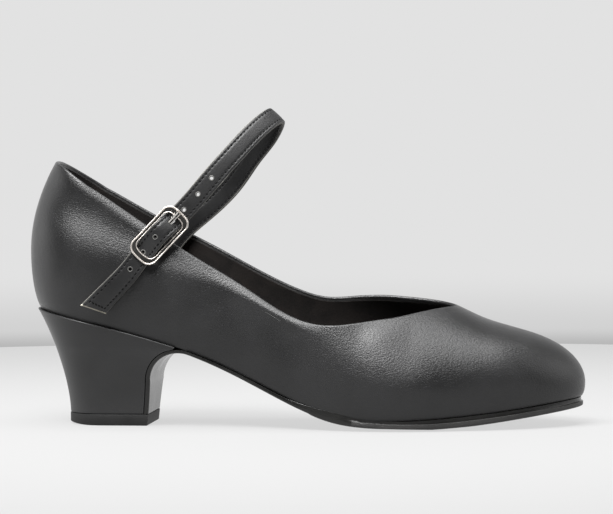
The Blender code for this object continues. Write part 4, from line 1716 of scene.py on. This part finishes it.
@dataclass(frozen=True)
class Buckle:
    """The polished frame with its centre bar, and the prong that comes through the strap onto the frame."""

    middle: Vector = Vector((0.0628, -0.0314, 0.0841))
    raised: Vector = Vector((0.0, 0.0001, 0.00105))
    along: Vector = Vector((0.0150, 0.0041, 0.0161)).normalized()
    ankle: Vector = Vector((0.066, 0.0, 0.088))
    length: float = 0.0260
    slip: float = -0.0004
    width: float = 0.0139
    end_band: float = 0.0031
    rail: float = 0.0019
    thickness: float = 0.0015
    outer_lip: float = 0.00042
    inner_lip: float = 0.00026
    rail_lip: float = 0.00014
    rail_dip: float = 0.00026
    channel: float = 0.00036
    channel_dip: float = 0.2
    lip_share: float = 0.85
    corner: float = 0.0033
    window_round: float = 0.75
    bow: float = 0.0010
    bow_power: int = 6
    corner_steps: int = 12
    edge_steps: int = 10
    bar_radius: float = 0.0006
    bar_drop: float = 0.0009
    bar_steps: int = 8
    bar_sides: int = 18
    prong_width: float = 0.0022
    prong_thickness: float = 0.0006
    prong_bend: float = 0.0012
    prong_dip: float = 0.0002
    prong_side: float = -0.0006
    prong_steps: int = 8
    tip_steps: int = 6
    # Shares of half the prong's width and of half its thickness
    prong_section: Pairs = (
        (1.0, -0.4), (1.0, 0.4), (0.82, 1.0), (0.35, 1.0), (0.12, 0.1), (-0.12, 0.1), (-0.35, 1.0),
        (-0.82, 1.0), (-1.0, 0.4), (-1.0, -0.4), (-0.8, -1.0), (0.0, -1.0), (0.8, -1.0),
    )
    wrap_gap: float = 0.00014
    wrap_steps: int = 24
    wrap_start: float = math.radians(-40)
    wrap_end: float = math.radians(-290)
    frame_crease: float = 40.0
    prong_crease: float = 50.0

    @cached_property
    def across(self) -> Vector:
        """The way across the strap."""
        return self.along.cross(self.middle - self.ankle).normalized()

    @cached_property
    def out(self) -> Vector:
        """The way out from the ankle."""
        return self.across.cross(self.along).normalized()

    def place(self, along: float, out: float, across: float = 0.0) -> Array:
        """A point given along the strap, out from the ankle and across."""
        spot = self.middle + self.raised + self.along * along + self.out * out + self.across * across
        return np.array(spot)

    def matrix(self, along: float) -> Matrix:
        """Turns x along the strap, y across and z out, and moves to a place on the prong's line."""
        turn = Matrix((self.along, -self.across, self.out)).transposed().to_4x4()
        return Matrix.Translation(Vector(self.place(along, 0.0, self.prong_side) + LAST.shift)) @ turn

    def outline(self, length: float, width: float, corner: float) -> Array:
        """A rectangle with round corners.

        Args:
            length: Its length.
            width: Its width.
            corner: Radius of its corners.

        Returns:
            Its points, along and across.
        """
        corners = []
        for quarter, (sign_x, sign_y) in enumerate(((1, 1), (-1, 1), (-1, -1), (1, -1))):
            turns = np.linspace(0, math.pi / 2, self.corner_steps + 1) + quarter * math.pi / 2
            middle = np.array((sign_x * (length / 2 - corner), sign_y * (width / 2 - corner)))
            corners.append(middle + corner * np.stack([np.cos(turns), np.sin(turns)], axis=1))
        points = []
        for this, after in zip(corners, corners[1:] + corners[:1]):
            shares = np.linspace(0, 1, self.edge_steps + 1)[1:-1, None]
            points += [this, this[-1] + (after[0] - this[-1]) * shares]
        outline = np.concatenate(points)
        share = np.abs(outline[:, 0]) / (length / 2)
        swell = self.bow * (1 - (2 * outline[:, 1] / width) ** 2) * share**self.bow_power
        outline[:, 0] += np.sign(outline[:, 0]) * swell + self.slip
        return outline

    def band_profile(self, span: float) -> list[tuple[float, float]]:
        """A cut across the frame's band: a rounded lip along each edge and a shallow channel between.

        Args:
            span: Width of the band there.

        Returns:
            Points as way in from the outer edge, and out from the middle plane.
        """
        half = self.thickness / 2
        turns = np.radians(np.arange(0, 180, 30))
        lip = self.outer_lip
        outer = [(lip * (1 - math.cos(turn)), half - lip * (1 - math.sin(turn))) for turn in turns]
        wide = held((span - self.rail) / (self.end_band - self.rail))
        lip = self.rail_lip + (self.inner_lip - self.rail_lip) * wide
        low = self.rail_dip * (1 - wide)
        inner = []
        for turn in reversed(turns):
            inner.append((span - lip * (1 - math.cos(turn)), half - low - lip * (1 - math.sin(turn))))
        floor = half - self.channel
        middle = (2 * self.outer_lip + span - 2 * lip) / 2
        deepest = (middle, floor - self.channel_dip * self.channel)
        channel = [(2 * self.outer_lip, floor), deepest, (span - 2 * lip, floor)]
        edge = lip / 2
        back = [(span, edge - half), (span - edge, -half), (edge, -half), (0.0, edge - half)]
        return outer + channel + inner + back

    def frame_ring(self) -> Piece:
        """The frame: a flat ring with lipped edges and ends that swell a little.

        Returns:
            The piece.
        """
        rim = self.outline(self.length, self.width, self.corner)
        corner = self.corner - self.window_round * self.rail
        window = self.outline(self.length - 2 * self.end_band, self.width - 2 * self.rail, corner)
        rings = []
        for edge, inside in zip(rim, window):
            span = float(np.linalg.norm(inside - edge))
            flats = [(edge + (inside - edge) * way / span, out) for way, out in self.band_profile(span)]
            rings.append([self.place(flat[0], out, flat[1]) for flat, out in flats])
        return tube_piece("buckle_ring", np.array(rings), looped=True)

    def bar(self) -> Piece:
        """The centre bar, from rail to rail.

        Returns:
            The piece.
        """
        rings = []
        for across in np.linspace(-1, 1, self.bar_steps + 1) * (self.width - self.rail) / 2:
            ring = []
            for turn in np.linspace(0, 2 * math.pi, self.bar_sides, endpoint=False):
                along = self.bar_radius * math.cos(turn)
                ring.append(self.place(along, self.bar_radius * math.sin(turn) - self.bar_drop, across))
            rings.append(ring)
        return tube_piece("buckle_bar", np.array(rings))

    def prong_path(self) -> BandPath:
        """The prong's middle line: round the bar, up through the strap and onto the end of the frame."""
        radius = self.bar_radius + self.wrap_gap + self.prong_thickness / 2
        turns = np.linspace(self.wrap_start, self.wrap_end, self.wrap_steps + 1)
        flat = [(radius * math.cos(turn), radius * math.sin(turn) - self.bar_drop) for turn in turns]
        rest = self.thickness / 2 + self.wrap_gap + self.prong_thickness / 2
        start = np.array(flat[-1])
        tip = self.length / 2 + self.slip
        bend = np.array((tip - self.end_band - self.prong_bend, rest - self.prong_dip))
        end = np.array((tip, rest))
        for first, last, steps in ((start, bend, self.prong_steps), (bend, end, self.tip_steps)):
            flat += [tuple(first + (last - first) * share) for share in np.linspace(0, 1, steps + 1)[1:]]
        points = np.array([self.place(along, out, self.prong_side) for along, out in flat])
        return BandPath(points, np.cross(np.array(self.across), np.gradient(points, axis=0)))

    def prong(self) -> Piece:
        """The prong, folded from sheet, so that a groove runs along its face.

        Returns:
            The piece.
        """
        half = self.prong_width / 2
        deep = self.prong_thickness / 2
        path = self.prong_path()
        _, across, out = path.ways
        rings = [path.points + across * half * wide + out * deep * high for wide, high in self.prong_section]
        return tube_piece("buckle_prong_folded", np.stack(rings, axis=1))

    def is_lip(self, face: Face) -> bool:
        """Whether a face is on the frame's rounded edges, not in its channel or on its bar."""
        out = (face.center - Vector(LAST.shift) - self.middle - self.raised).dot(self.out)
        return out > self.thickness / 2 - self.lip_share * self.channel

    def build(self) -> None:
        """Makes and dresses the buckle's pieces."""
        metal = NICKEL.material()
        body = join("buckle_body", [self.frame_ring(), self.bar()])
        dress(body, metal, ["buckle_frame"], self.frame_crease)
        paint_faces(body, SATIN_NICKEL.material(), self.is_lip)
        dress(self.prong(), metal, ["buckle_prong"], self.prong_crease)


BUCKLE = Buckle()


@dataclass(frozen=True)
class Ply:
    """A layer of the strap: how far its rim is trimmed, how far it is set aside, and where its faces lie."""

    name: str
    trim: float
    aside: float
    low: float
    high: float


@dataclass(frozen=True)
class Strap:
    """The strap: two stitched layers with holes, through the buckle, over the instep, inside the collar."""

    buckle: Buckle = BUCKLE
    outer: Ply = Ply("strap_leather", 0.00030, 0.00014, -0.00002, 0.00090)
    backing: Ply = Ply("strap_backing", 0.0, 0.0, -0.00085, 0.0)
    width: float = 0.0092
    flare: float = 0.15
    flare_length: float = 0.030
    corner: float = 0.00030
    corner_steps: int = 3
    steps: int = 640
    face_steps: int = 30
    cut: float = 0.0050
    cut_fade: float = 0.012
    cut_trim_fade: float = 0.003
    end_trim: float = 2.2
    crown: float = 0.00020
    seam_inset: float = 0.0016
    groove: float = 0.00024
    groove_width: float = 0.00050
    stitch_pull: float = 0.3
    first_stitch: float = 0.0030
    stitch_pitch: float = 0.00212
    stitch_size: Vector = Vector((0.00140, 0.00080, 0.00052))
    stitch_facets: tuple[int, int] = (8, 6)
    end_stitches: int = 4
    hole_radius: float = 0.00065
    hole_mouth: float = 0.00105
    hole_depth: float = 0.0050
    hole_sides: int = 20
    hole_pitch: float = 0.0092
    hole_shift: float = 0.0006
    holes_each_way: int = 3
    rim_radius: float = 0.00098
    rim_wire: float = 0.00024
    rim_flat: float = 0.75
    rim_facets: tuple[int, int] = (24, 6)
    prong_along: float = 0.0058
    slot: Vector = Vector((0.0026, 0.0026, 0.0060))
    slot_along: float = 0.0078
    crease: float = 40.0
    soft_crease: float = 80.0

    @cached_property
    def path(self) -> BandPath:
        """The strap's middle line as evenly spaced points."""
        knots = [np.array(point) for point in STRAP_SIDE]
        knots += [self.buckle.place(step.along, step.out, step.across) for step in STRAP_PASS]
        knots += [np.array(point) for point in STRAP_ARCH]
        lengths = np.concatenate([[0.0], np.cumsum([np.linalg.norm(b - a) for a, b in pairwise(knots)])])
        curves = [Spline(lengths, [knot[axis] for knot in knots]) for axis in range(3)]
        even = np.linspace(0, lengths[-1], self.steps + 1)
        points = np.array([[curve(length) for curve in curves] for length in even])
        return BandPath(points, points - np.array(self.buckle.ankle))

    @cached_property
    def prong_hole(self) -> float:
        """Length along the strap where the prong comes through."""
        target = self.buckle.place(self.prong_along, 0.0)
        return float(self.path.lengths[np.argmin(np.linalg.norm(self.path.points - target, axis=1))])

    @property
    def hole_lengths(self) -> list[float]:
        """Length along the strap of each hole that the prong leaves free."""
        steps = [step for step in range(-self.holes_each_way, self.holes_each_way + 1) if step]
        return [self.prong_hole + self.hole_shift + step * self.hole_pitch for step in steps]

    @property
    def half(self) -> float:
        """Half the strap's width."""
        return self.width / 2

    @property
    def seam(self) -> float:
        """Distance of the stitches from the middle line."""
        return self.half - self.seam_inset

    def relief(self, lengths: Lengths, across: float) -> Lengths:
        """How far either face swells: crowned across, and drawn in along the seams, most under a stitch.

        Args:
            lengths: Lengths along the strap.
            across: Place across it.

        Returns:
            The swell at each length.
        """
        away = (abs(across) - self.seam) / self.groove_width
        waves = np.cos(2 * math.pi * (lengths - self.first_stitch) / self.stitch_pitch)
        pull = 1 - self.stitch_pull + self.stitch_pull * waves
        return self.crown * (1 - (across / self.half) ** 2) - self.groove * math.exp(-(away**2)) * pull

    def spread(self, lengths: Lengths) -> Lengths:
        """How much wider the strap is towards its cut end."""
        return 1 + self.flare * np.maximum(0.0, 1 - lengths / self.flare_length)

    def slide(self, lengths: Lengths, across: float, trim: float = 0.0) -> Lengths:
        """How far points move along the strap so that its end is cut on the slant and trimmed."""
        slant = self.cut / 2 * np.maximum(0.0, 1 - lengths / self.cut_fade) * across / self.half
        return slant + trim * np.maximum(0.0, 1 - lengths / self.cut_trim_fade)

    def section(self, ply: Ply) -> list[tuple[float, float, int]]:
        """A layer's outline in a cut across the strap.

        Args:
            ply: The layer.

        Returns:
            Points as place across, place out of the middle line, and which face's relief they follow.
        """
        flat = self.half - ply.trim - self.corner
        points = []
        for quarter, (sign, face) in enumerate(((1, 1), (-1, 1), (-1, -1), (1, -1))):
            level = ply.high - self.corner if face > 0 else ply.low + self.corner
            for turn in np.linspace(0, math.pi / 2, self.corner_steps + 1) + quarter * math.pi / 2:
                place = sign * flat + self.corner * math.cos(turn) + ply.aside
                points.append((place, level + self.corner * math.sin(turn), 0))
            if sign == face:
                for share in np.linspace(1, -1, self.face_steps + 1)[1:-1]:
                    points.append((sign * flat * share + ply.aside, ply.high if face > 0 else ply.low, face))
        return points

    def layer(self, ply: Ply) -> Piece:
        """One layer of the strap, before its holes.

        Args:
            ply: The layer.

        Returns:
            The piece.
        """
        along, across, out = self.path.ways
        lengths = self.path.lengths
        shown = 1 if ply is self.outer else -1
        lines = []
        for place, level, face in self.section(ply):
            rise = level + (face * self.relief(lengths, place) if face == shown else 0.0)
            slides = self.slide(lengths, place, self.end_trim * ply.trim)
            sides = self.spread(lengths) * place
            line = self.path.points + across * sides[:, None] + out * np.reshape(rise, (-1, 1))
            lines.append(line + along * slides[:, None])
        return tube_piece(ply.name, np.stack(lines, axis=1))

    def punch_tool(self) -> Piece:
        """The tool for the holes, a little wider at their mouths, and for the prong's slot.

        Returns:
            The tool.
        """
        sizes = {
            "vertices": self.hole_sides,
            "radius1": self.hole_radius,
            "radius2": self.hole_mouth,
            "depth": self.hole_depth,
        }
        cutters = []
        for length in self.hole_lengths:
            point, _, _, out = self.path.at(length)
            turn = Vector(out).to_track_quat("Z", "Y").to_matrix().to_4x4()
            place = Matrix.Translation(Vector(point + LAST.shift)) @ turn
            cutters.append(primitive(bpy.ops.mesh.primitive_cone_add, place, **sizes))
        place = self.buckle.matrix(self.slot_along) @ Matrix.Diagonal((*self.slot, 1.0))
        cutters.append(primitive(bpy.ops.mesh.primitive_cube_add, place, size=1.0))
        return join("strap_punch", cutters)

    def stitch_at(self, length: float, across: float, face: int, turn: float) -> Matrix:
        """Matrix of one stitch.

        Args:
            length: Length along the strap.
            across: Place across it.
            face: 1 on the outer face and -1 on the inner one.
            turn: How far the stitch is turned in the face.

        Returns:
            The matrix, in the shoe's frame.
        """
        point, along, way, out = self.path.at(length)
        level = self.outer.high if face > 0 else -self.backing.low
        spot = point + way * across * self.spread(length) + out * face * (level + self.relief(length, across))
        spot += along * self.slide(length, across)
        lie = along * math.cos(turn) + way * math.sin(turn)
        up = out * face
        axes = Matrix((Vector(lie), Vector(np.cross(up, lie)), Vector(up))).transposed().to_4x4()
        return Matrix.Translation(Vector(spot + LAST.shift)) @ axes

    def stitch_places(self) -> list[Matrix]:
        """Where each stitch lies: along both edges on both faces, and across the cut end."""
        count = int((self.path.lengths[-1] - self.first_stitch) / self.stitch_pitch)
        places = []
        for face in (1, -1):
            for across in (self.seam, -self.seam):
                for step in range(count):
                    length = self.first_stitch + step * self.stitch_pitch
                    places.append(self.stitch_at(length, across, face, 0.0))
        for across in np.linspace(-self.seam, self.seam, self.end_stitches + 2)[1:-1]:
            places.append(self.stitch_at(self.first_stitch, across, 1, math.pi / 2))
        return places

    def stitches(self) -> Piece:
        """Every stitch, each a short plump thread that dips into the leather at its ends.

        Returns:
            The piece.
        """
        plump = Matrix.Diagonal((*self.stitch_size, 1.0)) @ Matrix.Rotation(math.pi / 2, 4, "Y")
        add = bpy.ops.mesh.primitive_uv_sphere_add
        segments, rings = self.stitch_facets
        seed = primitive(add, plump, segments=segments, ring_count=rings, radius=0.5)
        return repeat("strap_stitches", seed, self.stitch_places())

    def hole_rims(self) -> Piece:
        """The lips that the punch pressed up round the holes, on the outer face, coloured lighter as a
        painted highlight.

        Returns:
            The piece.
        """
        flat = Matrix.Diagonal((1.0, 1.0, self.rim_flat, 1.0))
        sizes = {"major_radius": self.rim_radius, "minor_radius": self.rim_wire}
        sizes["major_segments"], sizes["minor_segments"] = self.rim_facets
        seed = primitive(bpy.ops.mesh.primitive_torus_add, flat, **sizes)
        places = [self.stitch_at(length, 0.0, 1, 0.0) for length in self.hole_lengths]
        return repeat("strap_hole_rims", seed, places)

    def is_raw(self, face: Face) -> bool:
        """Whether a face of the backing lies on its cut rim.

        Args:
            face: A face of the backing.

        Returns:
            True if it does.
        """
        points = self.path.points + LAST.shift
        centre = np.array(face.center)
        near = int(np.argmin(np.sum((points - centre) ** 2, axis=1)))
        sideways = abs(float(self.path.ways[1][near] @ (centre - points[near])))
        away = sideways / self.spread(self.path.lengths[near])
        return away > self.half - self.outer.trim - self.corner / 2

    def is_end(self, face: Face) -> bool:
        """Whether a face of the backing shows at the slant cut end.

        Args:
            face: A face of the backing.

        Returns:
            True if it does.
        """
        offset = np.array(face.center) - self.path.points[0] - LAST.shift
        along, across, _ = (way[0] for way in self.path.ways)
        sideways = float(across @ offset) / self.spread(0.0)
        return float(along @ offset) - self.slide(0.0, sideways) < self.end_trim * self.outer.trim

    def build(self) -> None:
        """Makes and dresses the strap's pieces."""
        leather = STRAP_LEATHER.material()
        raw = RAW_EDGE.material()
        cut = CUT_END.material()
        tool = self.punch_tool()
        tool.data.materials.append(leather)
        paint_faces(tool, raw, lambda face: True)
        for ply, replaced in ((self.outer, ["strap"]), (self.backing, [])):
            piece = self.layer(ply)
            dress(piece, leather, replaced, degrees=None)
            paint_faces(piece, raw, self.is_raw if ply is self.backing else lambda face: False)
            paint_faces(piece, cut, self.is_end if ply is self.backing else lambda face: False)
            apply(piece, "BOOLEAN", object=tool, operation="DIFFERENCE", solver="EXACT")
            smooth(piece, self.crease)
        bpy.data.objects.remove(tool)
        # The hole rims' lighter colour is a painted highlight.
        # The stitches' dark thread also stands for painted shade in their holes.
        for piece, finish in ((self.stitches(), BLACK_THREAD_AND_SHADE), (self.hole_rims(), HOLE_RIM_HIGHLIGHT)):
            dress(piece, finish.material(), degrees=self.soft_crease)
        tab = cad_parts["buckle_tab"]
        tab.data.materials.clear()
        tab.data.materials.append(leather)


@dataclass(frozen=True)
class Softbox:
    """A soft area light."""

    name: str
    place: Point
    aim: Point
    size: tuple[float, float]
    power: float

    def build(self) -> None:
        """Hangs the light."""
        light = bpy.data.lights.new(self.name, "AREA")
        light.shape = "RECTANGLE"
        light.size, light.size_y = self.size
        light.energy = self.power
        lamp = bpy.data.objects.new(self.name, light)
        bpy.context.scene.collection.objects.link(lamp)
        lamp.visible_camera = False
        lamp.location = self.place
        lamp.rotation_euler = (Vector(self.aim) - Vector(self.place)).to_track_quat("-Z", "Y").to_euler()


SOFTBOXES = (
    Softbox("overhead", (0.01, -0.12, 1.33), (0.01, -0.10, 0.0), (1.1, 1.0), 25.0),
    Softbox("front", (-0.33, -0.65, 1.18), (0.0, 0.0, 0.05), (1.05, 0.55), 38.0),
    Softbox("right", (1.14, 0.05, 0.62), (0.0, 0.0, 0.06), (0.9, 1.0), 3.6),
    Softbox("left", (-1.25, 0.10, 0.26), (0.0, 0.0, 0.06), (0.9, 0.6), 2.0),
)


@dataclass(frozen=True)
class Viewpoint:
    """The camera: where it looks and from where."""

    target: Vector = Vector((0.0002, 0.0008, 0.0741))
    azimuth: float = math.radians(6.5)
    elevation: float = math.radians(2.43)
    roll: float = math.radians(-0.25)
    distance: float = 1.6
    lens: float = 211.5
    sensor: float = 36.0

    def build(self) -> None:
        """Sets up the camera."""
        camera = bpy.data.cameras.new("camera")
        camera.lens = self.lens
        camera.sensor_width = self.sensor
        viewer = bpy.data.objects.new("camera", camera)
        bpy.context.scene.collection.objects.link(viewer)
        level = math.cos(self.elevation)
        sideways = math.sin(self.azimuth) * level
        back = Vector((sideways, -math.cos(self.azimuth) * level, math.sin(self.elevation)))
        viewer.location = self.target + back * self.distance
        turn = back.to_track_quat("Z", "Y").to_matrix() @ Matrix.Rotation(self.roll, 3, "Z")
        viewer.rotation_euler = turn.to_euler()
        bpy.context.scene.camera = viewer


@dataclass(frozen=True)
class Studio:
    """The pale floor, the backdrop behind it and the light."""

    floor_radius: float = 0.5455
    floor_sides: int = 160
    floor_light: float = 0.082
    # Colour at the floor's rim: painted shade where the floor meets the backdrop
    floor_rim_shade: float = 0.068
    floor_fade: tuple[float, float] = (0.23, 1.09)
    floor_rough: float = 0.9
    floor_gloss: float = 0.1
    floor_glow: float = 0.622
    bounce_near: float = 0.78
    bounce_far: float = 1.26
    bounce_fade: tuple[float, float] = (0.10, 0.40)
    backdrop: float = 0.7605
    # Heights of the view where the backdrop's painted shade starts and ends, and its share at the lower one;
    # it stands for the shade where the backdrop meets the floor
    backdrop_shade: Triple = (-0.0640, -0.0460, 0.84)
    backdrop_low_shade: Triple = (-0.0672, -0.0618, 0.74)
    front_fill: float = 0.05
    back_fill: float = 0.9
    fill_turn: tuple[float, float] = (-0.3, 0.8)
    high_fill: float = 0.3
    fill_climb: tuple[float, float] = (0.15, 0.75)

    def floor(self) -> None:
        """Lays the round floor, with painted shade that darkens it towards its rim, where it meets the
        backdrop.
        """
        sizes = {"vertices": self.floor_sides, "radius": self.floor_radius, "fill_type": "NGON"}
        floor = primitive(bpy.ops.mesh.primitive_circle_add, **sizes)
        name_piece(floor, "studio_floor")
        material = bpy.data.materials.new("studio_floor")
        material.use_nodes = True
        nodes = Nodes(material.node_tree)
        place = nodes.add("TexCoord").outputs["Object"]
        away = nodes.add("VectorMath", {0: place}, operation="LENGTH").outputs["Value"]
        start, end = (fade * self.floor_radius for fade in self.floor_fade)
        # Painted shade: the floor's colour darkens between the two fade radii
        share = nodes.span(away, start, end, 0.0, 1.0)
        shader = material.node_tree.nodes["Principled BSDF"]
        pale_and_shaded = nodes.mix(share, (self.floor_light,) * 3, (self.floor_rim_shade,) * 3)
        glow = self.floor_glow / self.floor_light
        nodes.fill(shader, {"Base Color": pale_and_shaded, "Emission Color": pale_and_shaded, "Emission Strength": glow})
        nodes.fill(shader, {"Roughness": self.floor_rough, "Specular IOR Level": self.floor_gloss})
        strength = nodes.span(away, *self.bounce_fade, self.bounce_near, self.bounce_far)
        bounce = nodes.add("Emission", {"Strength": strength}).outputs[0]
        camera = nodes.add("LightPath").outputs["Is Camera Ray"]
        both = nodes.add("MixShader", {0: camera, 1: bounce, 2: shader.outputs[0]}).outputs[0]
        nodes.fill(material.node_tree.nodes["Material Output"], {"Surface": both})
        floor.data.materials.append(material)

    def surroundings(self) -> None:
        """Pale surroundings: an even fill for the shoe, and a backdrop with painted shade that darkens it
        towards the floor.
        """
        world = bpy.data.worlds.new("studio")
        bpy.context.scene.world = world
        world.use_nodes = True
        nodes = Nodes(world.node_tree)
        nodes.tree.nodes.clear()
        way = nodes.add("TexCoord").outputs["Generated"]
        axes = nodes.add("SeparateXYZ", {0: way}).outputs
        # Painted shade: the backdrop darkens near the floor
        shaded = nodes.times(nodes.span(axes[2], *self.backdrop_shade, 1.0), nodes.span(axes[2], *self.backdrop_low_shade, 1.0))
        seen = nodes.add("Background", {"Color": (*(self.backdrop,) * 3, 1.0), "Strength": shaded}).outputs[0]
        behind = nodes.span(axes[1], *self.fill_turn, self.front_fill, self.back_fill)
        low = nodes.span(axes[2], *self.fill_climb, 1.0, self.high_fill)
        white = {"Color": (1.0, 1.0, 1.0, 1.0), "Strength": nodes.times(behind, low)}
        fill = nodes.add("Background", white).outputs[0]
        camera = nodes.add("LightPath").outputs["Is Camera Ray"]
        both = nodes.add("MixShader", {0: camera, 1: fill, 2: seen}).outputs[0]
        nodes.add("OutputWorld", {"Surface": both})

    def build(self) -> None:
        """Sets up floor, light, backdrop and colours."""
        self.floor()
        self.surroundings()
        for softbox in SOFTBOXES:
            softbox.build()
        bpy.context.scene.view_settings.view_transform = "Standard"


def main() -> None:
    """Builds the shoe piece by piece, then the studio round it."""
    logging.basicConfig(level=logging.INFO, format="%(message)s")
    for part in (Upper(), Sock(), HEEL, Outsole(), BUCKLE, Strap(), Studio(), Viewpoint()):
        part.build()


if __name__ == "__main__":
    main()
